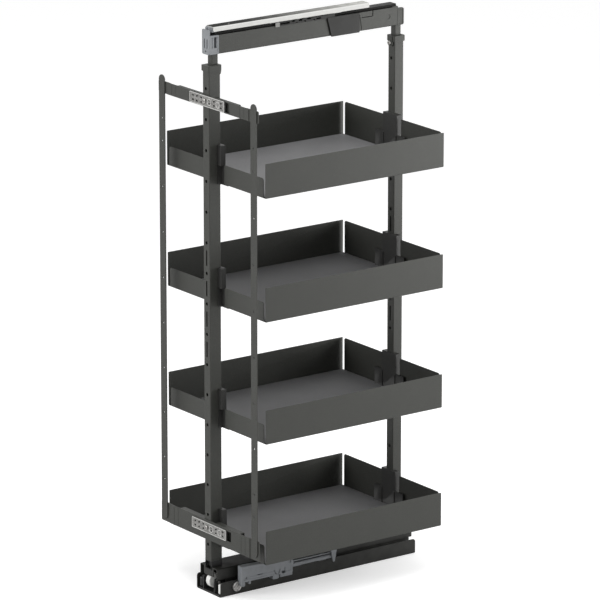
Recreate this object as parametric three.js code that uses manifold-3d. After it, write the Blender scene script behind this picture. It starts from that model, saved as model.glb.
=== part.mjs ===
// Pull out larder unit: four trays hung between two telescopic posts, on a floor runner and a ceiling runner.
// Millimetres. X is the width, -Y the front where the door goes, +Z up.
// The origin is the centre of the floor channel's underside.

import * as THREE from 'three';
import { mergeVertices } from 'three/addons/utils/BufferGeometryUtils.js';
import Module from 'manifold-3d';

const wasm = await Module();
wasm.setup();

// ---------------------------------------------------------------- sizes

const CLEARANCE = 0.3;              // air between pieces that touch
const SLACK = 0.4;                  // extra room round what turns or slides in a hole
const LAP = 0.1;                    // how far two shapes of one piece run into each other
const CUT = 1;                      // how far a cutting shape runs past the face it cuts

// trays
const trayCount = 4;
const trayLength = 446;
const trayWidth = 346;
const trayWallHeight = 72;
const trayFrontHeight = 41;
const traySheet = 1.2;
const trayCornerSlit = 7;           // open slit between an end wall and each side wall
const trayCornerRadius = 5;
const trayCentreY = -5;
const matThickness = 1.6;
const matMargin = 1.5;

// posts
const postWidth = 22;
const frontPostDepth = 28;
const rearPostDepth = 23;
const postWall = 1.5;
const postInset = 4.5;              // how far a post stands into the tray's end
const postLength = 1036;
const holePitch = 64;
const holesPerTray = 4;             // the trays hang this many holes apart
const holeRadius = 3.5;
const firstHoleHeight = 34.3;       // above the post's lower end
const bareTop = 40;                 // no hole this close to the post's upper end
const slotCount = 4;
const firstSlot = 6;                // the slots start above this hole
const slotLength = 33;
const slotWidth = 4;

// tray holders
const holderPlate = 2.5;
const holderTopMargin = 11.7;       // above the upper peg
const holderHoodHeight = 42;
const holderHoodHalf = 24;
const holderHoodReach = 9;          // hood beyond the plate, beside the post
const holderCheek = 2;
const holderFootReach = 20;         // foot behind the tray's end wall, past the notch
const holderShelf = 2.7;
const holderShelfDepth = 12;
const holderShelfReach = 5;         // shelf past the notch
const notchGap = 6;                 // hood to the edge of the notch in the tray's end wall
const pegRadius = 3;
const pegHeight = 4.3;              // lower peg above the tray's underside
const pegEndGap = 0.8;

// telescopes
const innerTube = 15;
const innerTubeWall = 1.5;
const innerTubeLength = 520;
const frontTubeGap = 1.5;           // between the inner tube and the post's wall on the tray side
const rearTubeGap = 2;
const collarHeight = 12.2;
const collarWall = 2;
const collarSkirt = 6;
const clampBossHalf = 7;
const clampBossHeight = 22;
const clampBossDepth = 4;
const clampScrewDrop = 15;          // below the collar's top
const clampScrewRadius = 2.5;
const clampHeadRadius = 4.4;
const clampHeadLength = 3.4;
const clampSocketRadius = 2;
const clampSocketDepth = 1.2;
const raisedGap = 22.2;             // collar to top beam when the unit is at its lowest

// floor channel
const channelWidth = 86;
const channelHeight = 32;
const channelSheet = 2;
const channelCorner = 6;
const channelSetback = 1.5;         // its front end behind the front post's face
const channelTail = 13.5;           // its rear end behind the rear post
const floorHoleRadius = 2.6;
const floorHoleHalf = 12;
const floorHoleFront = 90;          // behind the channel's front end
const floorHoleRear = 40;           // before its rear end

// front roller bracket
const frontRollerRadius = 15;
const frontRollerWidth = 12;
const frontRollerLift = 11;         // roller's underside above the channel's underside
const bracketSideGap = 4;           // bracket to the middle runner's leg
const bracketLength = 58;
const bracketPlate = 2;
const bracketCheekRise = 9;         // above the axle
const frontAxleInset = 12;
const axleRadius = 3;
const axleReach = 1;                // past the bracket on each side
const guideRollerRadius = 6.6;
const guideRollerHeight = 21;
const guideRollerGap = 1.5;         // to the channel's flange
const guidePinRadius = 2;
const guidePinRise = 3;
const guideInset = 9;
const guideEdge = 4;                // bracket plate past the pin

// middle runner
const middleSheet = 2;
const middleLegLift = 8;
const middleTailGap = 4;            // before the channel's rear end
const middleRollerHeadroom = 12;
const middleRollerWidth = 8;
const middleRollerOffset = 14;
const middleAxleInset = 18;
const upperRollerRadius = 6;
const upperAxleRadius = 1.5;
const upperAxleInset = 14;
const upperLug = 2;
const upperLugHalf = 6;
const upperLugGap = 1;

// lower beam
const lowerBeamGap = 2;             // to the middle runner's leg
const lowerBeamSheet = 2;
const lowerBeamHeight = 24;
const footHeight = 12.5;
const footPlug = 22;
const footApron = 7;                // how far the front foot hangs over the lower beam's end
const noseHalf = 17;                // plate across the lower beam's front end
const noseDrop = 20;
const activatorReach = 7;
const activatorLength = 6;

// damper on the near flange
const damperLength = 129.5;
const damperFront = 42.5;           // behind the channel's front end
const damperDepth = 14.5;
const damperBottom = 28;
const damperFrontHeight = 34.5;
const damperRearHeight = 28;
const damperWaist = 20;             // the top is level as far as this
const damperLugs = [                // middle behind the front end, half length, how far it hangs down
  [4.5, 4.3, 9],
  [20.7, 2.6, 6],
  [86.5, 8, 8],
  [113, 15.5, 6.5],
];
const damperGuideLength = 115;
const damperGuideBottom = 36;
const damperGuideHeight = 13;
const damperGuideDepth = 8;
const guideSlotHeight = 3;
const guideSlotDrop = 4;
const guideSlotEnd = 6;
const hookThickness = 2.7;
const hookLength = 20;
const hookDrop = 7;
const hookLap = 2;                  // where a hook joins the guide, above its underside
const catchLength = 15;
const catchHeight = 27;
const catchRise = 6;                // above the damper guide
const catchSide = 4;
const catchProng = 5;
const catchTail = 1;                // before the guide's rear end

// side adjuster on the near flange
const adjusterBack = 39.5;          // behind the channel's front end
const adjusterLift = 18.4;
const adjusterHeadRadius = 10.4;
const adjusterHeadLength = 3.7;
const adjusterShankRadius = 3;
const adjusterShankLength = 8;
const crossLength = 10;
const crossWidth = 1.6;
const crossDepth = 1.2;

// top beam
const beamHalf = 12.3;
const beamHeight = 39;
const beamSheet = 1.5;
const frontCapLength = 22;
const frontCapReach = 7.5;          // ahead of the front inner tube
const rearCapLength = 17;
const rearCapReach = 4;             // behind the rear inner tube
const rearCapDrop = 3;
const frontPlateThickness = 2.5;
const frontPlateRise = 12;
const capSlotOffset = 4.5;
const capSlotWidth = 3;
const capSlotLength = 20;
const capSlotDepth = 2.1;
const capSlotDrop = 7;              // below the beam's top
const coverStart = 266;             // behind the top beam's front end
const coverLength = 82;
const coverSlant = 11;
const coverThickness = 3;
const coverLipBelow = 1.2;
const coverLipAbove = 1;
const armLength = 128;              // arm ahead of the cover
const armLap = 20;
const armThickness = 2;
const armRise = 6.4;                // above the beam's top
const armDrop = 1;
const armTabLength = 10;
const armTabDrop = 2.4;

// ceiling runner
const ceilingHalf = 13;
const ceilingSheet = 1.5;
const ceilingHeight = 9.9;
const ceilingLength = 388;
const ceilingReach = 14;            // ahead of the top beam
const ceilingGap = 8;               // top beam to the ceiling rail's legs
const ceilingHoleRadius = 2.5;
const ceilingFrontHole = 46.5;      // behind the rail's front end
const ceilingRearHoles = [19.5, 46.5, 93, 174.5];
const topMiddleLift = 1.5;
const topMiddleThickness = 5;
const topMiddleSideGap = 0.7;
const topMiddleInset = 3;
const topMiddleTail = 1;
const topNeckHalf = 6;
const topNeckDepth = 16;
const topNeckStart = 4;
const topNeckEnd = 14;
const topNeckRoom = 1;
const ballCageStart = 140;
const ballCageLength = 180;
const ballCageHeight = 7;
const stopReach = 3;
const stopLength = 13;
const stopKnobRadius = 4;
const stopKnobOffset = 5;

// door fixing frame
const stripWidth = 20;
const stripThickness = 2;
const stripSpan = 320;              // centre to centre
const stripFoot = 6;                // its lower end above the bottom rail's lower edge
const stripHead = 13;               // its upper end above the top rail
const stripHolePitch = 96;
const stripHoleRadius = 2;
const stripFirstHole = 86;
const stripBareHead = 90;           // the regular holes stop this far below the upper end
const doorShift = 8;                // stands this far to the near side of its middle
const doorTravel = 8;               // side adjustment each way
const webThickness = 1.2;
const webEnd = 18;                  // from the strip's middle to the end of the rail's web
const tabThickness = 1.5;
const tabLap = 8;
const tabReach = 4;                 // past the strip's outer edge
const flangeHalf = 106;             // half of the flanged stretch of a rail
const topRailFlange = 6;
const bottomRailFlange = 12;
const topRailHeight = 25;
const bottomRailHeight = 42;
const topRailDrop = 66.5;           // the top rail's middle below the post's upper end
const bottomRailLift = 66;          // the bottom rail's middle above the post's lower end
const flangeGap = 1;                // the rail's flanges to the post, at the end of the travel
const plateHalf = 60;
const plateShift = 8;               // the plate's middle to the near side of the post's middle
const plateHeight = 20;
const plateLip = 1.2;
const plateFace = 1.5;
const bottomPlateRaise = 5;         // the bottom plate's middle above its rail's middle
const plateHolePlaces = [-50, -36, 36, 50];
const plateHoleRadius = 3.2;
const plateScrewRadius = 2.5;
const plateScrewHead = 5;
const plateScrewHeadLength = 2.6;
const plateScrewTail = 2;           // behind the post's front wall

// ---------------------------------------------------------------- places worked out from the sizes

const trayFrontY = trayCentreY - trayLength / 2;
const trayRearY = trayCentreY + trayLength / 2;
const frontPostY = trayFrontY + postInset - frontPostDepth / 2;
const rearPostY = trayRearY - postInset + rearPostDepth / 2;
const frontFaceY = frontPostY - frontPostDepth / 2;

const channelFront = frontFaceY + channelSetback;
const channelRear = rearPostY + rearPostDepth / 2 + channelTail;
const middleHalf = channelWidth / 2 - channelSheet - guideRollerGap - 2 * guideRollerRadius - CLEARANCE;
const lowerBeamHalf = middleHalf + lowerBeamGap + lowerBeamSheet;
const bracketHalf = middleHalf - middleSheet - bracketSideGap;

const frontAxleZ = frontRollerLift + frontRollerRadius;
const middleTop = frontAxleZ + frontRollerRadius + CLEARANCE + middleSheet;
const lowerBeamTop = middleTop + 2 * upperRollerRadius + 2 * CLEARANCE + lowerBeamSheet;
const postBottom = lowerBeamTop + footHeight + 2 * CLEARANCE;
const postTop = postBottom + postLength;
const lowestTrayZ = postBottom + firstHoleHeight - pegHeight;
const holderHeight = pegHeight + holePitch + holderTopMargin;
const notchHalf = holderHoodHalf + notchGap;
const holderFootHalf = notchHalf + holderFootReach;

const collarBottom = postTop - collarSkirt;
const beamBottom = collarBottom + collarHeight + raisedGap;
const beamTop = beamBottom + beamHeight;
const frontTubeFront = frontPostY + frontPostDepth / 2 - postWall - frontTubeGap - innerTube;
const rearTubeBack = rearPostY - rearPostDepth / 2 + postWall + rearTubeGap + innerTube;
const frontCapStart = frontTubeFront - frontCapReach;
const rearCapEnd = rearTubeBack + rearCapReach;
const beamStart = frontCapStart + frontCapLength;
const beamEnd = rearCapEnd - rearCapLength;

// ---------------------------------------------------------------- finishes

const finish = (name, color, roughness, metalness) =>
  new THREE.MeshStandardMaterial({ name, color, roughness, metalness });

const finishes = {
  anthracite: () => finish('anthracite powder coat', 0x4b4b48, 0.6, 0.3),
  darkSteel: () => finish('dark steel', 0x2a2a2a, 0.5, 0.4),
  zinc: () => finish('zinc plated steel', 0xb9b7b3, 0.35, 0.9),
  blackPlastic: () => finish('black plastic', 0x161616, 0.5, 0),
  greyPlastic: () => finish('blue grey plastic', 0x6c7077, 0.5, 0),
  nylon: () => finish('white nylon', 0xdedede, 0.4, 0),
  mat: () => finish('grey mat', 0x6d6d6e, 0.85, 0),
};

// ---------------------------------------------------------------- solids

function solidOf(geometry) {
  const bare = geometry.index ? geometry.toNonIndexed() : geometry.clone();
  for (const name of Object.keys(bare.attributes)) {
    if (name !== 'position') bare.deleteAttribute(name);
  }
  const merged = mergeVertices(bare, 1e-4);
  return new wasm.Manifold(new wasm.Mesh({
    numProp: 3,
    vertProperties: new Float32Array(merged.attributes.position.array),
    triVerts: new Uint32Array(merged.index.array),
  }));
}

function box([x0, x1], [y0, y1], [z0, z1]) {
  const geometry = new THREE.BoxGeometry(x1 - x0, y1 - y0, z1 - z0);
  geometry.translate((x0 + x1) / 2, (y0 + y1) / 2, (z0 + z1) / 2);
  return solidOf(geometry);
}

// a round bar along 'x', 'y' or 'z' from one place on that axis to another, through the other two places
function rod(axis, radius, [from, to], [u, v], sides = 16) {
  const geometry = new THREE.CylinderGeometry(radius, radius, to - from, sides);
  const middle = (from + to) / 2;
  if (axis === 'x') geometry.rotateZ(Math.PI / 2).translate(middle, u, v);
  if (axis === 'y') geometry.translate(u, middle, v);
  if (axis === 'z') geometry.rotateX(Math.PI / 2).translate(u, v, middle);
  return solidOf(geometry);
}

// a flat plate with its outline in the xz or the yz plane, thick from one place on the third axis to another
function plate(plane, outline, [from, to]) {
  const shape = new THREE.Shape(outline.map(([a, b]) => new THREE.Vector2(a, b)));
  const geometry = new THREE.ExtrudeGeometry(shape, { depth: to - from, bevelEnabled: false });
  geometry.rotateX(Math.PI / 2);
  if (plane === 'xz') geometry.translate(0, to, 0);
  if (plane === 'yz') geometry.rotateZ(Math.PI / 2).translate(from, 0, 0);
  return solidOf(geometry);
}

const join = (first, ...rest) => rest.reduce((sum, solid) => sum.add(solid), first);
const cut = (first, ...rest) => rest.reduce((left, solid) => left.subtract(solid), first);

// the stretch from one distance to another on the side of -1 or +1, and a stretch that lies evenly about 0
const onSide = (side, from, to) => (side < 0 ? [-to, -from] : [from, to]);
const about = (half) => [-half, half];

function addPiece(group, name, solid, material) {
  const { vertProperties, triVerts } = solid.getMesh();
  const geometry = new THREE.BufferGeometry();
  geometry.setAttribute('position', new THREE.BufferAttribute(new Float32Array(vertProperties), 3));
  geometry.setIndex(new THREE.BufferAttribute(new Uint32Array(triVerts), 1));
  geometry.computeVertexNormals();
  const mesh = new THREE.Mesh(geometry, material);
  mesh.name = name;
  group.add(mesh);
}

function subGroup(parent, x, y, z) {
  const group = new THREE.Group();
  group.position.set(x, y, z);
  parent.add(group);
  return group;
}

// a rectangle from (a0, b0) to (a1, b1) whose two upper corners are rounded
function roundedTop([a0, a1], [b0, b1], radius, steps = 3) {
  const points = [[a0, b0], [a1, b0]];
  for (let i = 0; i <= steps; i += 1) {
    const angle = (Math.PI / 2) * (i / steps);
    points.push([a1 - radius + radius * Math.cos(angle), b1 - radius + radius * Math.sin(angle)]);
  }
  for (let i = 0; i <= steps; i += 1) {
    const angle = (Math.PI / 2) * (1 + i / steps);
    points.push([a0 + radius + radius * Math.cos(angle), b1 - radius + radius * Math.sin(angle)]);
  }
  return points;
}

// ---------------------------------------------------------------- trays

// The tray's own origin is the middle of its underside.
function traySolid() {
  const halfLength = trayLength / 2;
  const halfWidth = trayWidth / 2;
  const wallEnd = halfWidth - traySheet - trayCornerSlit;
  const sideOutline = roundedTop(about(halfLength), [0, trayWallHeight], trayCornerRadius);
  const frontOutline = roundedTop(about(wallEnd), [0, trayFrontHeight], trayCornerRadius);
  const rearOutline = roundedTop(about(wallEnd), [0, trayWallHeight], trayCornerRadius);
  const sheet = join(
    box(about(halfWidth), about(halfLength), [0, traySheet]),
    plate('yz', sideOutline, [halfWidth - traySheet, halfWidth]),
    plate('yz', sideOutline, [-halfWidth, -halfWidth + traySheet]),
    plate('xz', frontOutline, [-halfLength, -halfLength + traySheet]),
    plate('xz', rearOutline, [halfLength - traySheet, halfLength]));
  const notchDepth = postInset + holderPlate + 3 * CLEARANCE;
  const wallNotch = about(notchHalf);
  const floorNotch = about(holderFootHalf + SLACK);
  return cut(
    sheet,
    box(wallNotch, [-halfLength - CUT, -halfLength + notchDepth], [-CUT, trayWallHeight + CUT]),
    box(wallNotch, [halfLength - notchDepth, halfLength + CUT], [-CUT, trayWallHeight + CUT]),
    box(floorNotch, [-halfLength + traySheet, -halfLength + notchDepth], [-CUT, traySheet + CUT]),
    box(floorNotch, [halfLength - notchDepth, halfLength - traySheet], [-CUT, traySheet + CUT]));
}

function matSolid() {
  const halfLength = trayLength / 2 - traySheet - matMargin;
  const halfWidth = trayWidth / 2 - traySheet - matMargin;
  const bottom = traySheet + CLEARANCE;
  const notch = about(holderFootHalf + matMargin);
  const notchEnd = trayLength / 2 - postInset - holderPlate - matMargin;
  const through = [bottom - CUT, bottom + matThickness + CUT];
  return cut(
    box(about(halfWidth), about(halfLength), [bottom, bottom + matThickness]),
    box(notch, [-halfLength - CUT, -notchEnd], through),
    box(notch, [notchEnd, halfLength + CUT], through));
}

// A holder's origin is at the tray's end: the tray's end face is the plane y = 0, and the tray lies
// towards +y. The holder hugs the post, which reaches postInset into the tray.
function holderSolid() {
  const plateFront = postInset + CLEARANCE;
  const plateBack = plateFront + holderPlate;
  const hoodFront = plateFront - holderHoodReach;
  const hoodBottom = holderHeight - holderHoodHeight;
  const shelfBottom = -CLEARANCE - holderShelf;
  const cheekInner = postWidth / 2 + CLEARANCE;
  const parts = [
    box(about(holderFootHalf), [plateFront, plateBack], [traySheet + CLEARANCE, hoodBottom]),
    box(about(notchHalf - SLACK), [plateFront, plateBack], [shelfBottom, hoodBottom]),
    box(about(holderHoodHalf), [plateFront, plateBack], [hoodBottom, holderHeight]),
    box(
      about(notchHalf + holderShelfReach), [plateFront, plateFront + holderShelfDepth],
      [shelfBottom, -CLEARANCE]),
  ];
  for (const side of [-1, 1]) {
    const cheek = onSide(side, cheekInner, cheekInner + holderCheek);
    const hood = onSide(side, cheekInner, holderHoodHalf);
    parts.push(box(cheek, [hoodFront, plateFront], [shelfBottom, holderHeight]));
    parts.push(box(hood, [hoodFront, plateBack], [hoodBottom, holderHeight]));
  }
  const pegStretch = [postInset - postWall - pegEndGap, plateFront + CUT];
  for (const z of [pegHeight, pegHeight + holePitch]) {
    parts.push(rod('y', pegRadius, pegStretch, [0, z], 8));
  }
  return join(...parts);
}

function addTrays(root) {
  const tray = traySolid();
  const mat = matSolid();
  const holder = holderSolid();
  for (let i = 0; i < trayCount; i += 1) {
    const number = trayCount - i;
    const level = lowestTrayZ + i * holesPerTray * holePitch;
    const middle = subGroup(root, 0, trayCentreY, level);
    addPiece(middle, `tray_${number}`, tray, finishes.anthracite());
    addPiece(middle, `tray_mat_${number}`, mat, finishes.mat());
    const front = subGroup(root, 0, trayFrontY, level);
    addPiece(front, `holder_front_${number}`, holder, finishes.darkSteel());
    const rear = subGroup(root, 0, trayRearY, level);
    rear.rotation.z = Math.PI;
    addPiece(rear, `holder_rear_${number}`, holder, finishes.darkSteel());
  }
}

// ---------------------------------------------------------------- posts, feet and collars

// A post's origin is the middle of its lower end.
function postSolid(depth, screwHoles) {
  const halfWidth = postWidth / 2;
  const halfDepth = depth / 2;
  const tools = [
    box(about(halfWidth - postWall), about(halfDepth - postWall), [-CUT, postLength + CUT]),
  ];
  for (let z = firstHoleHeight; z < postLength - bareTop; z += holePitch) {
    tools.push(rod('y', holeRadius, about(halfDepth + CUT), [0, z], 8));
  }
  for (let i = 0; i < slotCount; i += 1) {
    const middle = firstHoleHeight + (firstSlot + i + 0.5) * holePitch;
    const stretch = [middle - slotLength / 2, middle + slotLength / 2];
    tools.push(box(about(slotWidth / 2), [-halfDepth - CUT, 0], stretch));
  }
  for (const { side, height, radius } of screwHoles) {
    tools.push(rod('y', radius + SLACK, onSide(side, 0, halfDepth + CUT), [0, height], 8));
  }
  return cut(box(about(halfWidth), about(halfDepth), [0, postLength]), ...tools);
}

// The foot's apron hangs down in front of the lower beam's end.
function footSolid(depth, apron) {
  const plugGap = postWall + CLEARANCE;
  const apronY = [-depth / 2, -depth / 2 + channelSetback - CLEARANCE];
  return join(
    box(about(postWidth / 2), about(depth / 2), [0, footHeight]),
    box(about(postWidth / 2), apronY, [-apron, LAP]),
    box(about(postWidth / 2 - plugGap), about(depth / 2 - plugGap), [0, footHeight + footPlug]));
}

// The collar caps the post's upper end. Its side is +1 where the tray lies towards +y.
function collarSolid(depth, tubeY, side) {
  const seatX = postWidth / 2 + CLEARANCE;
  const seatY = depth / 2 + CLEARANCE;
  const seatTop = collarSkirt + CLEARANCE;
  const bore = innerTube / 2 + CLEARANCE;
  const cap = cut(
    box(about(seatX + collarWall), about(seatY + collarWall), [0, collarHeight]),
    box(about(seatX), about(seatY), [-CUT, seatTop]));
  const bossY = onSide(side, seatY, seatY + clampBossDepth);
  const boss = box(about(clampBossHalf), bossY, [collarHeight - clampBossHeight, collarHeight]);
  const screwHole = onSide(side, seatY - CUT, seatY + clampBossDepth + CUT);
  return cut(
    join(cap, boss),
    box(about(bore), [tubeY - bore, tubeY + bore], [0, collarHeight + CUT]),
    rod('y', clampScrewRadius + SLACK, screwHole, [0, collarHeight - clampScrewDrop], 12));
}

// The screw runs through the collar's boss and the post's wall to the inner tube's face.
function clampScrewSolid(depth, tubeFace, side) {
  const headStart = depth / 2 + clampBossDepth + 2 * CLEARANCE;
  const headEnd = headStart + clampHeadLength;
  const head = rod('y', clampHeadRadius, onSide(side, headStart, headEnd), [0, 0]);
  const socketStretch = onSide(side, headEnd - clampSocketDepth, headEnd + CUT);
  const shankStretch = onSide(side, tubeFace + CLEARANCE, headStart + LAP);
  return join(
    cut(head, rod('y', clampSocketRadius, socketStretch, [0, 0], 6)),
    rod('y', clampScrewRadius, shankStretch, [0, 0], 12));
}

function innerTubeSolid() {
  const half = innerTube / 2;
  const inner = half - innerTubeWall;
  return cut(
    box(about(half), about(half), [0, innerTubeLength]),
    box(about(inner), about(inner), [-CUT, innerTubeLength + CUT]));
}

function addPosts(root) {
  const screwZ = collarBottom + collarHeight - clampScrewDrop;
  const plateHeights = [postLength - topRailDrop, bottomRailLift + bottomPlateRaise];
  const front = { name: 'front', y: frontPostY, depth: frontPostDepth, side: 1, gap: frontTubeGap };
  const rear = { name: 'rear', y: rearPostY, depth: rearPostDepth, side: -1, gap: rearTubeGap };
  const ends = [
    { ...front, heights: plateHeights, apron: footApron },
    { ...rear, heights: [], apron: 0 },
  ];
  for (const { name, y, depth, side, gap, heights, apron } of ends) {
    const tubeFace = depth / 2 - postWall - gap;
    const tubeY = side * (tubeFace - innerTube / 2);
    const screwHoles = heights.map((height) => ({ side: -1, height, radius: plateScrewRadius }));
    screwHoles.push({ side, height: screwZ - postBottom, radius: clampScrewRadius });
    const post = postSolid(depth, screwHoles);
    const collar = collarSolid(depth, tubeY, side);
    const screw = clampScrewSolid(depth, tubeFace, side);
    const tubeBottom = beamBottom - CLEARANCE - innerTubeLength;
    addPiece(subGroup(root, 0, y, postBottom), `${name}_post`, post, finishes.anthracite());
    addPiece(
      subGroup(root, 0, y, lowerBeamTop + CLEARANCE), `${name}_foot`, footSolid(depth, apron),
      finishes.blackPlastic());
    addPiece(subGroup(root, 0, y, collarBottom), `${name}_collar`, collar, finishes.anthracite());
    addPiece(subGroup(root, 0, y, screwZ), `${name}_clamp_screw`, screw, finishes.zinc());
    addPiece(
      subGroup(root, 0, y + tubeY, tubeBottom), `${name}_inner_tube`, innerTubeSolid(),
      finishes.anthracite());
  }
}

// ---------------------------------------------------------------- floor channel and its fittings

function addFloorChannel(root) {
  const half = channelWidth / 2;
  const length = [channelFront, channelRear];
  const flange = roundedTop(length, [0, channelHeight], channelCorner);
  const adjusterY = channelFront + adjusterBack;
  const channel = join(
    box(about(half), length, [0, channelSheet]),
    plate('yz', flange, [half - channelSheet, half]),
    plate('yz', flange, [-half, -half + channelSheet]));
  const tools = [
    rod('x', adjusterShankRadius + SLACK, [0, half + CUT], [adjusterY, adjusterLift], 12),
  ];
  for (const y of [channelFront + floorHoleFront, channelRear - floorHoleRear]) {
    for (const x of about(floorHoleHalf)) {
      tools.push(rod('z', floorHoleRadius, [-CUT, channelSheet + CUT], [x, y], 8));
    }
  }
  addPiece(root, 'floor_channel', cut(channel, ...tools), finishes.darkSteel());

  const headStart = half + CLEARANCE;
  const headEnd = headStart + adjusterHeadLength;
  const crossStretch = [headEnd - crossDepth, headEnd + CUT];
  const head = cut(
    rod('x', adjusterHeadRadius, [headStart, headEnd], [0, 0], 20),
    box(crossStretch, about(crossWidth / 2), about(crossLength / 2)),
    box(crossStretch, about(crossLength / 2), about(crossWidth / 2)));
  const shankStretch = [headStart - adjusterShankLength, headStart + LAP];
  const shank = rod('x', adjusterShankRadius, shankStretch, [0, 0], 12);
  addPiece(
    subGroup(root, 0, adjusterY, adjusterLift), 'side_adjuster', join(head, shank), finishes.zinc());
}

function addRollerBracket(root) {
  const base = channelSheet + CLEARANCE;
  const floor = [base, base + bracketPlate];
  const guideX = middleHalf + CLEARANCE + guideRollerRadius;
  const guideY = channelFront + guideInset;
  const axleY = channelFront + frontAxleInset;
  const length = [channelFront, channelFront + bracketLength];
  const pinStretch = [base, base + bracketPlate + guideRollerHeight + guidePinRise];
  const parts = [
    box(about(bracketHalf), length, floor),
    box(about(guideX + guideEdge), [channelFront, channelFront + 2 * guideInset], floor),
  ];
  for (const side of [-1, 1]) {
    const cheek = onSide(side, bracketHalf - bracketPlate, bracketHalf);
    parts.push(box(cheek, length, [base, frontAxleZ + bracketCheekRise]));
    parts.push(rod('z', guidePinRadius, pinStretch, [side * guideX, guideY], 10));
  }
  const axleHole = rod('x', axleRadius + SLACK / 2, about(bracketHalf + CUT), [axleY, frontAxleZ]);
  addPiece(root, 'roller_bracket', cut(join(...parts), axleHole), finishes.blackPlastic());

  const axlePlace = subGroup(root, 0, axleY, frontAxleZ);
  const axle = rod('x', axleRadius, about(bracketHalf + axleReach), [0, 0], 12);
  addPiece(axlePlace, 'front_axle', axle, finishes.zinc());
  const frontRoller = cut(
    rod('x', frontRollerRadius, about(frontRollerWidth / 2), [0, 0], 28),
    rod('x', axleRadius + SLACK, about(frontRollerWidth / 2 + CUT), [0, 0]));
  addPiece(axlePlace, 'front_roller', frontRoller, finishes.nylon());

  const guideRoller = cut(
    rod('z', guideRollerRadius, [0, guideRollerHeight], [0, 0], 20),
    rod('z', guidePinRadius + SLACK, [-CUT, guideRollerHeight + CUT], [0, 0], 12));
  for (const [name, side, plastic] of [['far', -1, finishes.blackPlastic()], ['near', 1, finishes.nylon()]]) {
    const place = subGroup(root, side * guideX, guideY, base + bracketPlate + CLEARANCE);
    addPiece(place, `guide_roller_${name}`, guideRoller, plastic);
  }
}

function addDamper(root) {
  const outside = channelWidth / 2 + CLEARANCE;
  const inside = channelWidth / 2 - channelSheet - CLEARANCE;
  const start = channelFront + damperFront;
  const end = start + damperLength;
  const hookTop = channelHeight + hookThickness + CLEARANCE;
  const hook = (from, top) => {
    const hookY = [from, from + hookLength];
    return join(
      box([inside - channelSheet, outside + CUT], hookY, [channelHeight + CLEARANCE, top]),
      box([inside - channelSheet, inside], hookY, [channelHeight - hookDrop, top]));
  };

  const body = [
    [start, damperBottom], [end, damperBottom], [end, damperBottom + damperRearHeight],
    [start + damperWaist, damperBottom + damperFrontHeight], [start, damperBottom + damperFrontHeight],
  ];
  const lugs = damperLugs.map(([place, half, drop]) => box(
    [outside, outside + damperDepth], [start + place - half, start + place + half],
    [damperBottom - drop, damperBottom + CUT]));
  const adjusterRoom = box(
    [outside - CUT, outside + adjusterHeadLength + SLACK],
    [start - CUT, channelFront + adjusterBack + adjusterHeadRadius + CUT],
    [0, adjusterLift + adjusterHeadRadius + CUT]);
  const housing = join(
    cut(join(plate('yz', body, [outside, outside + damperDepth]), ...lugs), adjusterRoom),
    hook(start + 2 * hookLength, hookTop), hook(end - 2 * hookLength, hookTop));
  addPiece(root, 'damper_housing', housing, finishes.greyPlastic());

  const guideStart = end + CLEARANCE;
  const guideEnd = guideStart + damperGuideLength;
  const guideTop = damperGuideBottom + damperGuideHeight;
  const guideOuter = outside + damperGuideDepth;
  const slotTop = guideTop - guideSlotDrop + guideSlotHeight / 2;
  const guide = join(
    box([outside, guideOuter], [guideStart, guideEnd], [damperGuideBottom, guideTop]),
    hook(guideStart + hookLength / 2, damperGuideBottom + hookLap),
    hook(guideEnd - 2 * hookLength, damperGuideBottom + hookLap));
  const slot = box(
    [outside - CUT, guideOuter + CUT], [guideStart + guideSlotEnd, guideEnd - guideSlotEnd],
    [slotTop - guideSlotHeight, slotTop]);
  addPiece(root, 'damper_guide', cut(guide, slot), finishes.greyPlastic());

  const catchEnd = guideEnd - catchTail;
  const catchStart = catchEnd - catchLength;
  const catchTop = guideTop + catchRise;
  const catchOuter = guideOuter + catchSide;
  const prongEnd = lowerBeamHalf + activatorReach - catchSide;
  const prongZ = [catchTop - catchProng, catchTop];
  const catchPiece = join(
    box([outside, catchOuter], [catchStart, catchEnd], [guideTop + CLEARANCE, catchTop]),
    box([guideOuter + CLEARANCE, catchOuter], [catchStart, catchEnd], [catchTop - catchHeight, catchTop]),
    box([prongEnd, outside + CUT], [catchEnd - catchProng, catchEnd], prongZ));
  addPiece(root, 'damper_catch', catchPiece, finishes.greyPlastic());
  return catchEnd;
}

// ---------------------------------------------------------------- middle runner and lower beam

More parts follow.
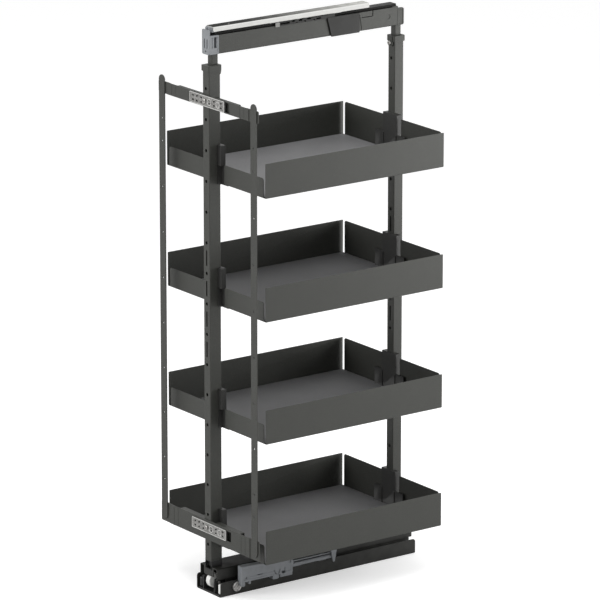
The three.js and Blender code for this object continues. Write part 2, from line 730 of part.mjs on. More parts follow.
function addMiddleRunner(root) {
  const start = channelFront + 2 * frontAxleInset;
  const end = channelRear - middleTailGap;
  const rearRadius = (middleTop - middleSheet - channelSheet - middleRollerHeadroom) / 2;
  const rearZ = channelSheet + CLEARANCE + rearRadius;
  const rearY = end - middleAxleInset;
  const upperY = start + upperAxleInset;
  const upperZ = middleTop + CLEARANCE + upperRollerRadius;
  const lugInner = middleRollerOffset + middleRollerWidth / 2 + upperLugGap;
  const lugOuter = lugInner + upperLug;
  const lugY = [upperY - upperLugHalf, upperY + upperLugHalf];
  const parts = [box(about(middleHalf), [start, end], [middleTop - middleSheet, middleTop])];
  for (const side of [-1, 1]) {
    const leg = onSide(side, middleHalf - middleSheet, middleHalf);
    const lug = onSide(side, lugInner, lugOuter);
    parts.push(box(leg, [start, end], [middleLegLift, middleTop]));
    parts.push(box(lug, lugY, [middleTop - LAP, upperZ + upperLugHalf / 2]));
  }
  const runner = cut(
    join(...parts),
    rod('x', axleRadius + SLACK / 2, about(middleHalf + CUT), [rearY, rearZ], 12),
    rod('x', upperAxleRadius + SLACK / 2, about(lugOuter + CUT), [upperY, upperZ], 12));
  addPiece(root, 'middle_runner', runner, finishes.darkSteel());

  const rearAxle = rod('x', axleRadius, about(middleHalf), [0, 0], 12);
  const upperAxle = rod('x', upperAxleRadius, about(lugOuter), [0, 0], 12);
  addPiece(subGroup(root, 0, rearY, rearZ), 'middle_axle', rearAxle, finishes.zinc());
  addPiece(subGroup(root, 0, upperY, upperZ), 'upper_axle', upperAxle, finishes.zinc());

  const rollerSolid = (radius, boreRadius) => cut(
    rod('x', radius, about(middleRollerWidth / 2), [0, 0], 20),
    rod('x', boreRadius + SLACK, about(middleRollerWidth / 2 + CUT), [0, 0], 12));
  for (const [name, side] of [['far', -1], ['near', 1]]) {
    const x = side * middleRollerOffset;
    addPiece(
      subGroup(root, x, rearY, rearZ), `middle_roller_${name}`, rollerSolid(rearRadius, axleRadius),
      finishes.nylon());
    addPiece(
      subGroup(root, x, upperY, upperZ), `upper_roller_${name}`,
      rollerSolid(upperRollerRadius, upperAxleRadius), finishes.nylon());
  }
}

// A narrow plate hangs across its front end. The activator is the tongue on the near edge that drives
// the damper's catch. It lies over the prong.
function addLowerBeam(root, catchEnd) {
  const length = [channelFront, channelRear];
  const top = [lowerBeamTop - lowerBeamSheet, lowerBeamTop];
  const parts = [
    box(about(lowerBeamHalf), length, top),
    box(about(noseHalf), [length[0], length[0] + lowerBeamSheet], [lowerBeamTop - noseDrop, lowerBeamTop]),
    box([lowerBeamHalf - CUT, lowerBeamHalf + activatorReach], [catchEnd - activatorLength, catchEnd], top),
  ];
  for (const side of [-1, 1]) {
    const leg = onSide(side, lowerBeamHalf - lowerBeamSheet, lowerBeamHalf);
    parts.push(box(leg, length, [lowerBeamTop - lowerBeamHeight, lowerBeamTop]));
  }
  addPiece(root, 'lower_beam', join(...parts), finishes.darkSteel());
}

// ---------------------------------------------------------------- top beam and ceiling runner

function addTopBeam(root) {
  const length = [beamStart, beamEnd];
  const parts = [box(about(beamHalf), length, [beamBottom, beamBottom + beamSheet])];
  for (const side of [-1, 1]) {
    parts.push(box(onSide(side, beamHalf - beamSheet, beamHalf), length, [beamBottom, beamTop]));
  }
  addPiece(root, 'top_beam', join(...parts), finishes.anthracite());

  const plateStart = frontCapStart - frontPlateThickness;
  const slotTop = beamTop - capSlotDrop;
  const slots = [-1, 1].map((side) => box(
    onSide(side, capSlotOffset - capSlotWidth / 2, capSlotOffset + capSlotWidth / 2),
    [plateStart - CUT, plateStart + capSlotDepth], [slotTop - capSlotLength, slotTop]));
  const frontCap = cut(
    join(
      box(about(beamHalf), [frontCapStart, beamStart - CLEARANCE], [beamBottom, beamTop]),
      box(about(beamHalf), [plateStart, frontCapStart + LAP], [beamBottom, beamTop + frontPlateRise])),
    ...slots);
  addPiece(root, 'top_front_cap', frontCap, finishes.greyPlastic());

  const rearCap = cut(
    box(about(beamHalf), [beamEnd + CLEARANCE, rearCapEnd], [beamBottom, beamTop - rearCapDrop]),
    box(
      about(topNeckHalf + topNeckRoom), [beamEnd, rearCapEnd + CUT],
      [beamTop - topNeckDepth - topNeckRoom, beamTop]));
  addPiece(root, 'top_rear_cap', rearCap, finishes.anthracite());

  const coverFront = beamStart + coverStart;
  const coverRear = coverFront + coverLength;
  const outline = [
    [coverFront + coverSlant, beamBottom - coverLipBelow], [coverRear, beamBottom - coverLipBelow],
    [coverRear, beamTop + coverLipAbove], [coverFront, beamTop + coverLipAbove],
  ];
  const coverInner = beamHalf + CLEARANCE;
  const armX = [coverInner, coverInner + armThickness];
  const armStart = coverFront - armLength;
  const cover = join(
    plate('yz', outline, [coverInner, coverInner + coverThickness]),
    box(armX, [armStart, coverFront + armLap], [beamTop - armDrop, beamTop + armRise]),
    box(armX, [armStart, armStart + armTabLength], [beamTop - armTabDrop, beamTop + armRise]));
  addPiece(root, 'top_cover', cover, finishes.darkSteel());
}

function addCeilingRunner(root) {
  const front = beamStart - ceilingReach;
  const rear = front + ceilingLength;
  const bottom = beamTop + ceilingGap;
  const top = bottom + ceilingHeight;
  const inner = ceilingHalf - ceilingSheet;
  const runnerBottom = beamTop + topMiddleLift;
  const runnerTop = runnerBottom + topMiddleThickness;
  const runnerHalf = inner - topMiddleSideGap;
  const runner = join(
    box(about(runnerHalf), [front + topMiddleInset, beamEnd - topMiddleTail], [runnerBottom, runnerTop]),
    box(
      about(topNeckHalf), [beamStart + topNeckStart, beamEnd - topNeckEnd],
      [beamTop - topNeckDepth, runnerBottom + CUT]));
  addPiece(root, 'top_middle_rail', runner, finishes.darkSteel());

  const cageBottom = runnerTop + CLEARANCE;
  const cageFront = front + ballCageStart;
  const cage = box(
    about(runnerHalf), [cageFront, cageFront + ballCageLength], [cageBottom, cageBottom + ballCageHeight]);
  addPiece(root, 'ball_cage', cage, finishes.nylon());

  const holes = [front + ceilingFrontHole, ...ceilingRearHoles.map((back) => rear - back)].map((y) =>
    rod('z', ceilingHoleRadius, [top - ceilingSheet - CUT, top + CUT], [0, y], 10));
  const rail = join(
    box(about(ceilingHalf), [front, rear], [top - ceilingSheet, top]),
    box([-ceilingHalf, -inner], [front, rear], [bottom, top]),
    box([inner, ceilingHalf], [front, rear], [bottom, top]));
  addPiece(root, 'ceiling_rail', cut(rail, ...holes), finishes.zinc());

  const stopZ = [cageBottom, top - ceilingSheet - CLEARANCE];
  const stopFront = front - stopReach;
  const stop = join(
    box(about(inner - CLEARANCE), [stopFront, stopFront + stopLength], stopZ),
    rod('z', stopKnobRadius, stopZ, [-stopKnobOffset, stopFront], 12),
    rod('z', stopKnobRadius, stopZ, [stopKnobOffset, stopFront], 12));
  addPiece(root, 'ceiling_rail_stop', stop, finishes.greyPlastic());
}

// ---------------------------------------------------------------- door fixing frame

const webBack = frontFaceY - 2 * CLEARANCE;
const webFront = webBack - webThickness;

// A rail's origin is its own middle, and the window for the adjusting plate is cut windowRaise above it.
function doorRailSolid(height, flangeDepth, windowRaise) {
  const webHalf = stripSpan / 2 - webEnd;
  const tabHalf = (stripSpan + stripWidth) / 2 + tabReach;
  const windowRoom = plateHeight / 2 + SLACK;
  const windowMiddle = plateShift + doorTravel - doorShift;
  const windowHalf = plateHalf + doorTravel + SLACK;
  const z = about(height / 2);
  const flangeY = [webBack - LAP, webBack + flangeDepth];
  const parts = [
    box(about(webHalf), [webFront, webBack], z),
    box(about(flangeHalf), [webBack + flangeDepth - webThickness, webBack + flangeDepth], z),
    box(about(flangeHalf), flangeY, [z[0], z[0] + webThickness]),
    box(about(flangeHalf), flangeY, [z[1] - webThickness, z[1]]),
  ];
  for (const side of [-1, 1]) {
    parts.push(box(onSide(side, webHalf - tabLap, tabHalf), [webBack - LAP, webBack + tabThickness], z));
  }
  return cut(
    join(...parts),
    box(
      [windowMiddle - windowHalf, windowMiddle + windowHalf], [webFront - CUT, webBack + CUT],
      [windowRaise - windowRoom, windowRaise + windowRoom]),
    box(
      about(postWidth / 2 + doorTravel + flangeGap), [webBack, webBack + flangeDepth + CUT],
      [z[0] - CUT, z[1] + CUT]));
}

// A strip's origin is the middle of its lower end.
function doorStripSolid(length) {
  const half = stripWidth / 2;
  const back = webBack - LAP - CLEARANCE;
  const steps = 8;
  const outline = [];
  for (let i = 0; i <= steps; i += 1) {
    const angle = Math.PI * (1 + i / steps);
    outline.push([half * Math.cos(angle), half + half * Math.sin(angle)]);
  }
  for (let i = 0; i <= steps; i += 1) {
    const angle = Math.PI * (i / steps);
    outline.push([half * Math.cos(angle), length - half + half * Math.sin(angle)]);
  }
  const heights = [stripFirstHole];
  for (let z = stripFirstHole + stripHolePitch / 2; z < length - stripBareHead; z += stripHolePitch) {
    heights.push(z);
  }
  heights.push(heights[heights.length - 1] + stripHolePitch / 2);
  const holes = heights.map((z) =>
    rod('y', stripHoleRadius, [back - stripThickness - CUT, back + CUT], [0, z], 8));
  return cut(plate('xz', outline, [back - stripThickness, back]), ...holes);
}

function adjustingPlateSolid() {
  const back = frontFaceY - CLEARANCE;
  const faceBack = webFront - CLEARANCE;
  const faceFront = faceBack - plateFace;
  const through = [faceFront - CUT, back + CUT];
  return cut(
    join(
      box(about(plateHalf), [faceBack - LAP, back], about(plateHeight / 2)),
      box(about(plateHalf), [faceFront, faceBack], about(plateHeight / 2 + plateLip))),
    rod('y', plateScrewRadius + SLACK / 2, through, [-plateShift, 0], 12),
    ...plateHolePlaces.map((x) => rod('y', plateHoleRadius, through, [x, 0], 10)));
}

function plateScrewSolid() {
  const headBack = webFront - CLEARANCE - plateFace - CLEARANCE;
  return join(
    rod('y', plateScrewHead, [headBack - plateScrewHeadLength, headBack], [0, 0]),
    rod('y', plateScrewRadius, [headBack - LAP, frontFaceY + postWall + plateScrewTail], [0, 0], 12));
}

function addDoorFrame(root) {
  const topZ = postTop - topRailDrop;
  const bottomZ = postBottom + bottomRailLift;
  const stripBottom = bottomZ - bottomRailHeight / 2 + stripFoot;
  const stripTop = topZ + topRailHeight / 2 + stripHead;
  const topRail = doorRailSolid(topRailHeight, topRailFlange, 0);
  const bottomRail = doorRailSolid(bottomRailHeight, bottomRailFlange, bottomPlateRaise);
  addPiece(subGroup(root, doorShift, 0, topZ), 'door_rail_top', topRail, finishes.anthracite());
  addPiece(subGroup(root, doorShift, 0, bottomZ), 'door_rail_bottom', bottomRail, finishes.anthracite());
  for (const [name, side] of [['far', -1], ['near', 1]]) {
    const place = subGroup(root, doorShift + (side * stripSpan) / 2, 0, stripBottom);
    addPiece(place, `door_strip_${name}`, doorStripSolid(stripTop - stripBottom), finishes.anthracite());
  }
  for (const [name, z] of [['top', topZ], ['bottom', bottomZ + bottomPlateRaise]]) {
    const place = subGroup(root, plateShift, 0, z);
    addPiece(place, `adjusting_plate_${name}`, adjustingPlateSolid(), finishes.zinc());
    addPiece(subGroup(root, 0, 0, z), `plate_screw_${name}`, plateScrewSolid(), finishes.zinc());
  }
}

// ---------------------------------------------------------------- the unit

const unit = new THREE.Group();
addFloorChannel(unit);
addRollerBracket(unit);
const catchEnd = addDamper(unit);
addMiddleRunner(unit);
addLowerBeam(unit, catchEnd);
addPosts(unit);
addTrays(unit);
addTopBeam(unit);
addCeilingRunner(unit);
addDoorFrame(unit);

export default unit;
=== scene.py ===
import math

import bmesh
import bpy
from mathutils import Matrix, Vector


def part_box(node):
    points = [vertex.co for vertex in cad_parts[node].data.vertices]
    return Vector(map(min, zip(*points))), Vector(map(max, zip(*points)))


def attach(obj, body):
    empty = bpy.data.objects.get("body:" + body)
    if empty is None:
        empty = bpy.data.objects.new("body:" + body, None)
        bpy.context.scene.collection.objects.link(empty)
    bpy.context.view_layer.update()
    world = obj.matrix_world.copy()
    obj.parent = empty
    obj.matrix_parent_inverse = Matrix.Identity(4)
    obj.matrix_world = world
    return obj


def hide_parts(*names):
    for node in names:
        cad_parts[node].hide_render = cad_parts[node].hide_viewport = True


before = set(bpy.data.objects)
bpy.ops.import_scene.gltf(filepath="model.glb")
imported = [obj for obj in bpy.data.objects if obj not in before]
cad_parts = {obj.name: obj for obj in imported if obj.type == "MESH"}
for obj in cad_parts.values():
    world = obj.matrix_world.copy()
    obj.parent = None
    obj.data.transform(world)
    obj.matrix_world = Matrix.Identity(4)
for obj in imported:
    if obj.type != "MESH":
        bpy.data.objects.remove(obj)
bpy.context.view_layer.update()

MM = 0.001


# ---------------------------------------------------------------- floor channel
# The runner's bottom part: a length of steel sheet folded up on both sides, coated black,
# with its flange corners rounded. It is screwed to the cabinet's floor through four holes.

def places(node):
    """The stretch that a piece takes on x, on y and on z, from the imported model."""
    low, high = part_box(node)
    return [(low[i] / MM, high[i] / MM) for i in range(3)]


def middles(node):
    """The middle of a piece on x, on y and on z."""
    return [sum(stretch) / 2 for stretch in places(node)]


def around(middle, half):
    """The stretch that reaches half as far to both sides of a middle."""
    return middle - half, middle + half


def take(piece):
    """Makes a piece the only selected one."""
    bpy.ops.object.select_all(action="DESELECT")
    piece.select_set(True)
    bpy.context.view_layer.objects.active = piece


def named(name):
    """Names the new primitive, and puts its place into its mesh."""
    piece = bpy.context.object
    piece.name = piece.data.name = name
    bpy.ops.object.transform_apply(location=True, rotation=True, scale=True)
    return piece


def sheet(name, x, y, z):
    """A flat rectangle at height z."""
    bpy.ops.mesh.primitive_plane_add(size=1, location=(sum(x) / 2 * MM, sum(y) / 2 * MM, z * MM))
    bpy.context.object.scale = ((x[1] - x[0]) * MM, (y[1] - y[0]) * MM, 1)
    return named(name)


def bar(name, axis, radius, along, across, sides=32):
    """A round bar along an axis, through a place on the other two."""
    middle = list(across)
    middle.insert("xyz".index(axis), sum(along) / 2)
    turn = {"x": (0, math.pi / 2, 0), "y": (math.pi / 2, 0, 0), "z": (0, 0, 0)}[axis]
    bpy.ops.mesh.primitive_cylinder_add(
        vertices=sides, radius=radius * MM, depth=(along[1] - along[0]) * MM,
        location=[place * MM for place in middle], rotation=turn)
    return named(name)


def shape(piece):
    """Opens a piece in edit mode."""
    take(piece)
    bpy.ops.object.mode_set(mode="EDIT")
    bpy.ops.mesh.select_mode(type="FACE")


def done():
    bpy.ops.object.mode_set(mode="OBJECT")


def pick(kind, test):
    """Selects the vertices, edges or faces that pass the test, and nothing else.
    The test gets the middle in millimetres, and the direction of an edge or the normal of a face."""
    bpy.ops.mesh.select_mode(type=kind)
    bpy.ops.mesh.select_all(action="DESELECT")
    mesh = bmesh.from_edit_mesh(bpy.context.edit_object.data)
    if kind == "VERT":
        found = [v for v in mesh.verts if test(v.co / MM, v.normal)]
    elif kind == "EDGE":
        ends = ((e, *(v.co for v in e.verts)) for e in mesh.edges)
        found = [e for e, a, b in ends if test((a + b) / 2 / MM, (b - a).normalized())]
    else:
        found = [f for f in mesh.faces if test(f.calc_center_median() / MM, f.normal)]
    if not found:
        raise ValueError(f"nothing on {bpy.context.edit_object.name} is where the test looks for it")
    for part in found:
        part.select_set(True)
    mesh.select_flush_mode()
    bmesh.update_edit_mesh(bpy.context.edit_object.data)


def pull(x=0, y=0, z=0):
    """Extrudes what is selected."""
    bpy.ops.mesh.extrude_region_move(TRANSFORM_OT_translate={"value": (x * MM, y * MM, z * MM)})


def round_off(width, steps, kind="EDGES"):
    """Bevels the selected edges, or the selected corners of a sheet."""
    bpy.ops.mesh.bevel(offset=width * MM, segments=steps, affect=kind, clamp_overlap=True)


def rounded(piece, axis, width, steps, where=lambda at: True, across=False):
    """Rounds a piece's edges that run along an axis, or across it, where the test lets it."""
    turn = "xyz".index(axis)
    shape(piece)
    if across:
        pick("EDGE", lambda at, way: abs(way[turn]) < 0.1 and where(at))
    else:
        pick("EDGE", lambda at, way: abs(way[turn]) > 0.9 and where(at))
    round_off(width, steps)
    done()
    return piece


def modify(piece, kind, **settings):
    """Adds a modifier and applies it."""
    take(piece)
    modifier = piece.modifiers.new(kind.title(), kind)
    for name, value in settings.items():
        setattr(modifier, name, value)
    bpy.ops.object.modifier_apply(modifier=modifier.name)


def thicken(piece, gauge):
    """Gives a folded sheet its gauge, inwards from the shape that was folded."""
    shape(piece)
    bpy.ops.mesh.select_all(action="SELECT")
    bpy.ops.mesh.remove_doubles(threshold=0.00002)
    bpy.ops.mesh.normals_make_consistent(inside=False)
    done()
    modify(piece, "SOLIDIFY", thickness=gauge * MM, offset=-1, use_even_offset=True)


def carve(piece, *cutters):
    """Cuts holes and recesses with the shapes given, which are used up."""
    for cutter in cutters:
        modify(piece, "BOOLEAN", operation="DIFFERENCE", solver="EXACT", object=cutter)
        bpy.data.objects.remove(cutter)
    if not piece.data.polygons:
        raise ValueError(f"nothing of {piece.name} is left")


def add_on(piece, *others):
    """Makes one body of a piece and the shapes given, which are used up."""
    for other in others:
        modify(piece, "BOOLEAN", operation="UNION", solver="EXACT", object=other)
        bpy.data.objects.remove(other)


def break_edges(piece, width, angle=40):
    """Takes the sharpness off the edges and smooths the shading between them."""
    modify(
        piece, "BEVEL", width=width * MM, segments=2, limit_method="ANGLE",
        angle_limit=math.radians(angle), harden_normals=False)
    take(piece)
    bpy.ops.object.shade_smooth_by_angle(angle=math.radians(angle - 5))
    modify(piece, "WEIGHTED_NORMAL", keep_sharp=True)


def fit(piece, finish, slot, body, *nodes):
    """Finishes a piece, and puts it in the assembly in place of its plain solid."""
    piece.data.materials.clear()
    piece.data.materials.append(finish)
    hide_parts(*nodes)
    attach(piece, body)


class Reading:
    """A number that varies over a surface. Sums on it add Math nodes to its finish."""

    def __init__(self, finish, socket):
        self.finish, self.socket = finish, socket

    def work(self, operation, other):
        return self.finish.node("ShaderNodeMath", {"operation": operation}, {0: self, 1: other})

    def __add__(self, other):
        return self.work("ADD", other)

    __radd__ = __add__

    def __sub__(self, other):
        return self.work("SUBTRACT", other)

    def __mul__(self, other):
        return self.work("MULTIPLY", other)

    def __pow__(self, other):
        return self.work("POWER", other)


class Finish:
    """A material in the making."""

    def __init__(self, name):
        self.material = bpy.data.materials.new(name)
        self.material.use_nodes = True
        self.tree = self.material.node_tree
        self.shader = self.tree.nodes["Principled BSDF"]
        self.place = self.node("ShaderNodeTexCoord", {}, {}, "Object")

    def node(self, kind, settings, sockets, output=0):
        """Adds a node: its settings first, then its sockets."""
        node = self.tree.nodes.new(kind)
        for name, value in settings.items():
            setattr(node, name, value)
        for name, value in sockets.items():
            self.connect(node.inputs[name], value)
        return Reading(self, node.outputs[output])

    def connect(self, socket, value):
        if isinstance(value, Reading):
            self.tree.links.new(value.socket, socket)
        else:
            socket.default_value = value

    def coordinate(self, axis):
        """The place on one axis, in metres."""
        return self.node("ShaderNodeSeparateXYZ", {}, {"Vector": self.place}, axis)

    def noise(self, grain, detail=2.0, roughness=0.5, stretch=(1, 1, 1)):
        """Noise whose features are about as large as the grain, in millimetres."""
        place = self.node("ShaderNodeMapping", {}, {"Vector": self.place, "Scale": stretch})
        return self.node(
            "ShaderNodeTexNoise", {},
            {"Vector": place, "Scale": 1 / (grain * MM), "Detail": detail, "Roughness": roughness})

    def cells(self, size):
        """Distances from the middles of cells of about that size, in millimetres."""
        return self.node(
            "ShaderNodeTexVoronoi", {"feature": "F1"}, {"Vector": self.place, "Scale": 1 / (size * MM)})

    def spread(self, reading, low, high):
        """The same reading, stretched so that low becomes 0 and high becomes 1."""
        return self.node(
            "ShaderNodeMapRange", {}, {"Value": reading, "From Min": low, "From Max": high})

    def blend(self, factor, first, second):
        """From the first colour to the second."""
        first, second = ((*c, 1) if isinstance(c, tuple) else c for c in (first, second))
        return self.node(
            "ShaderNodeMix", {"data_type": "RGBA"}, {0: factor, 6: first, 7: second}, 2)

    def bump(self, height, depth, strength=1.0, under=None):
        """A relief of that depth in millimetres, on top of another relief where one is given."""
        sockets = {"Height": height, "Distance": depth * MM, "Strength": strength}
        if under is not None:
            sockets["Normal"] = under
        return self.node("ShaderNodeBump", {}, sockets)

    def give(self, **sockets):
        """Sets the shader's own sockets, and hands over the material."""
        for name, value in sockets.items():
            self.connect(self.shader.inputs[name.replace("_", " ")], value)
        return self.material


def black_coat(name, deep, pale, shine):
    """Black coat on steel: even and thin, a little cloudy, with dust in it."""
    finish = Finish(name)
    cloud = finish.spread(finish.noise(22, 3), 0.35, 0.7)
    speck = finish.spread(finish.noise(0.9, 2), 0.45, 0.75)
    colour = finish.blend(cloud * 0.6 + speck * 0.3, (deep, deep, deep * 0.88), (pale, pale, pale * 0.9))
    return finish.give(
        Base_Color=colour, Roughness=0.38 + cloud * 0.12 + speck * 0.05, Specular_IOR_Level=shine,
        Normal=finish.bump(speck, 0.02, 0.5))


dark_steel = black_coat("black dip coat", 0.014, 0.030, 0.35)

width, length, height = places("floor_channel")
channel_gauge, channel_bend, flange_corner = 2, 4, 6
screw_hole, screw_sink = 2.6, 4.6

channel = sheet("floor_channel_steel", width, length, height[0])
shape(channel)
pick("EDGE", lambda at, way: abs(at.x) > width[1] - 1)
pull(z=height[1] - height[0])
pick("EDGE", lambda at, way: abs(at.x) > width[1] - 1 and abs(way.y) > 0.9 and at.z < 1)
round_off(channel_bend, 5)
pick("VERT", lambda at, out: at.z > height[1] - 1)
round_off(flange_corner, 5, "VERTICES")
done()
thicken(channel, channel_gauge)
adjuster_at = middles("side_adjuster")[1:]
carve(channel, bar("drill", "x", 3.4, (width[1] - 6, width[1] + 2), adjuster_at))
for hole_y in (length[0] + 90, length[1] - 40):
    for hole_x in (-12, 12):
        carve(
            channel, bar("drill", "z", screw_hole, (-1, 4), (hole_x, hole_y), 20),
            bar("sink", "z", screw_sink, (1.4, 4), (hole_x, hole_y), 28))
break_edges(channel, 0.35)
fit(channel, dark_steel, "dark_steel", "floor_runner", "floor_channel")


# ---------------------------------------------------------------- roller bracket
# A black moulded bracket on the channel's floor at its front end. Its cheeks carry the front
# roller's axle, and two pins in front of it carry the guide rollers. It is riveted down.

def block(name, x, y, z):
    """A square-edged block between two places on each axis."""
    bpy.ops.mesh.primitive_cube_add(
        size=1, location=[(a + b) / 2 * MM for a, b in (x, y, z)],
        scale=[(b - a) * MM for a, b in (x, y, z)])
    return named(name)


def inset(width, depth=0.0):
    """Insets the selected faces by a width, and raises or sinks them by a depth."""
    bpy.ops.mesh.inset(thickness=width * MM, depth=depth * MM)


def looks(side):
    """The test for faces that look to a side, such as +x, or to both, such as x."""
    turn, sign = "xyz".index(side[-1]), {"+": 1, "-": -1}.get(side[0])
    if sign:
        return lambda at, out: out[turn] * sign > 0.999
    return lambda at, out: abs(out[turn]) > 0.999


def moulding(name, shade, gloss):
    """Moulded plastic with a fine spark-eroded grain and a slight unevenness of gloss."""
    finish = Finish(name)
    flow = finish.spread(finish.noise(14, 2), 0.35, 0.7)
    pits = finish.noise(0.6, 3, 0.6)
    darker = tuple(part * 0.8 for part in shade)
    colour = finish.blend(flow * 0.5 + finish.spread(pits, 0.4, 0.7) * 0.4, shade, darker)
    return finish.give(
        Base_Color=colour, Roughness=gloss + flow * 0.1, Normal=finish.bump(pits, 0.03, 0.6))


black_plastic = moulding("black glass-filled nylon", (0.012, 0.012, 0.012), 0.4)

x, y, z = places("roller_bracket")
cheek_half, cheek_top, base_gauge = 20, 35, 2
pin_top = min(z[1], 28.3)
bracket = block("roller_bracket_moulding", (-cheek_half, cheek_half), y, (z[0], cheek_top))
shape(bracket)
pick("FACE", lambda at, out: out.z > 0.9 or abs(out.y) > 0.9)
bpy.ops.mesh.delete(type="FACE")
pick("VERT", lambda at, out: at.z > cheek_top - 1)
round_off(7, 5, "VERTICES")
done()
thicken(bracket, base_gauge)
front_plate = block("front_plate", x, (y[0], y[0] + 18), (z[0], z[0] + base_gauge))
rounded(front_plate, "z", 4, 4)
cross_web = block("cross_web", (-19, 19), (y[1] - 26, y[1] - 23), (z[0], 30))
rounded(cross_web, "y", 5, 4, lambda at: at.z > 29)
add_on(bracket, front_plate, cross_web)
for side in ("far", "near"):
    pin = bar("pin", "z", 2, (z[0], pin_top), (middles(f"guide_roller_{side}")[0], y[0] + 9), 24)
    shape(pin)
    pick("FACE", looks("+z"))
    inset(0.6, 0.3)
    done()
    add_on(bracket, pin)
axle_at = middles("front_axle")[1:]
carve(bracket, bar("drill", "x", 3.2, (-22, 22), axle_at, 32))
for rivet_y in (y[1] - 8, y[0] + 40):
    carve(bracket, bar("drill", "z", 2.4, (z[0] + 1.2, z[0] + 4), (8, rivet_y), 20))
break_edges(bracket, 0.3)
fit(bracket, black_plastic, "black_plastic", "floor_runner", "roller_bracket")


# ---------------------------------------------------------------- front axle and rollers
# A zinc plated pin with riveted ends, and moulded rollers: one upright white wheel that the
# middle runner rolls on, and two long ones on the bracket's pins that keep it from the flanges.

def zinc_plate(name, bright, dull):
    """Zinc on steel: faint spangle and rolling marks, clouded where it was handled."""
    finish = Finish(name)
    spangle = finish.cells(5)
    cloud = finish.spread(finish.noise(9, 4, 0.6), 0.35, 0.7)
    rolled = finish.noise(1.2, 2, 0.5, (1, 0.08, 1))
    return finish.give(
        Base_Color=finish.blend(spangle * 18 + cloud * 0.5, bright, dull), Metallic=0.85,
        Roughness=0.26 + cloud * 0.16 + rolled * 0.05, Normal=finish.bump(rolled, 0.015, 0.5))


def white_nylon():
    """Natural nylon, turned by use: a bright off-white with faint rings and grey smears."""
    finish = Finish("white nylon")
    smear = finish.spread(finish.noise(5, 3), 0.55, 0.8)
    fine = finish.noise(0.5, 2)
    colour = finish.blend(smear * 0.35, (0.78, 0.78, 0.76), (0.52, 0.52, 0.50))
    return finish.give(
        Base_Color=colour, Roughness=0.38 + smear * 0.15, Normal=finish.bump(fine, 0.02, 0.4))


zinc = zinc_plate("zinc plate", (0.56, 0.55, 0.53), (0.40, 0.39, 0.375))
bright_zinc = zinc_plate("bright zinc plate", (0.74, 0.73, 0.71), (0.55, 0.54, 0.525))
nylon = white_nylon()


def pin_with_ends(name, radius, along, across, chamfer=0.6):
    """A pin along x whose ends are chamfered and dimpled by riveting."""
    pin = bar(name, "x", radius, along, across)
    shape(pin)
    pick("FACE", looks("x"))
    inset(chamfer, chamfer * 0.6)
    inset(radius * 0.35)
    inset(0.3, -0.4)
    done()
    return pin


def roller(node, axis, bore, hub, tread):
    """A moulded roller in a node's place: bored, dished at both ends, its tread rounded."""
    stretches = places(node)
    along = stretches.pop("xyz".index(axis))
    radius = (stretches[0][1] - stretches[0][0]) / 2
    rim, step = min(1.8, (radius - tread - hub) * 0.4), 0.3
    wheel = bar(f"{node}_wheel", axis, radius, along, [sum(stretch) / 2 for stretch in stretches], 48)
    rounded(wheel, axis, tread, 4, across=True)
    shape(wheel)
    pick("FACE", looks(axis))
    inset(rim)
    inset(step, -0.9)
    inset(radius - tread - rim - step - hub)
    inset(0.2, 0.7)
    inset(hub - bore - 0.2)
    bpy.ops.mesh.delete(type="FACE")
    bpy.ops.mesh.select_mode(type="EDGE")
    bpy.ops.mesh.select_non_manifold()
    bpy.ops.mesh.bridge_edge_loops()
    done()
    take(wheel)
    bpy.ops.object.shade_smooth_by_angle(angle=math.radians(35))
    return wheel


front_axle = pin_with_ends("front_axle_pin", 3, places("front_axle")[0], axle_at)
break_edges(front_axle, 0.15)
fit(front_axle, zinc, "zinc", "floor_runner", "front_axle")
front_roller = roller("front_roller", "x", 3.4, 6, 0.9)
fit(front_roller, nylon, "nylon", "front_roller", "front_roller")
for node, plastic, slot in (
        ("guide_roller_far", black_plastic, "black_plastic"), ("guide_roller_near", nylon, "nylon")):
    fit(roller(node, "z", 2.4, 3.2, 2.8), plastic, slot, node, node)


# ---------------------------------------------------------------- damper
# The soft close damper hooks over the channel's near flange: a blue-grey moulded housing with
# two screw lugs, a slotted guide behind it, and the catch that the lower beam's tongue drives.

grey_plastic = moulding("blue-grey plastic", (0.225, 0.236, 0.250), 0.38)
flange_face = 43.3


def flange_hook(from_y, to_y, top):
    """A hook of the damper over the channel's flange."""
    hook = block("hook", (38.7, 44.3), (from_y, to_y), (25, top))
    rounded(hook, "y", 1.2, 3, lambda at: at.z > top - 0.1 and at.x < 40)
    carve(hook, block("flange_room", (40.7, 46), (from_y - 1, to_y + 1), (20, 32.3)))
    return hook


def panel(piece, side, rim, slope, depth):
    """Sinks or raises a side of a piece, inside a rim."""
    shape(piece)
    pick("FACE", looks(side))
    inset(rim)
    inset(slope, depth)
    done()
    return piece


def taper(piece, side, scale=(1, 1, 1), **move):
    """Narrows a piece towards a side, or moves that side along."""
    shape(piece)
    pick("FACE", looks(side))
    bpy.ops.transform.resize(value=scale)
    bpy.ops.transform.translate(value=[move.get(axis, 0) * MM for axis in "xyz"])
    done()
    return piece


x, y, z = places("damper_housing")
x = (flange_face, x[1])
body_bottom, waist_y, rear_top = 28, y[0] + 20, 56
housing = block("damper_housing_moulding", x, y, (body_bottom, z[1]))
shape(housing)
bpy.ops.mesh.select_all(action="SELECT")
slope = Vector((0, z[1] - rear_top, y[1] - waist_y)).normalized()
bpy.ops.mesh.bisect(
    plane_co=(0, waist_y * MM, z[1] * MM), plane_no=slope, use_fill=True, clear_outer=True)
pick("EDGE", lambda at, way: at.x > x[1] - 0.1)
round_off(1.4, 3)
done()
rounded(housing, "z", 1.2, 2, lambda at: at.y < y[0] + 0.1)
panel(housing, "+x", 2.6, 0.5, -0.7)
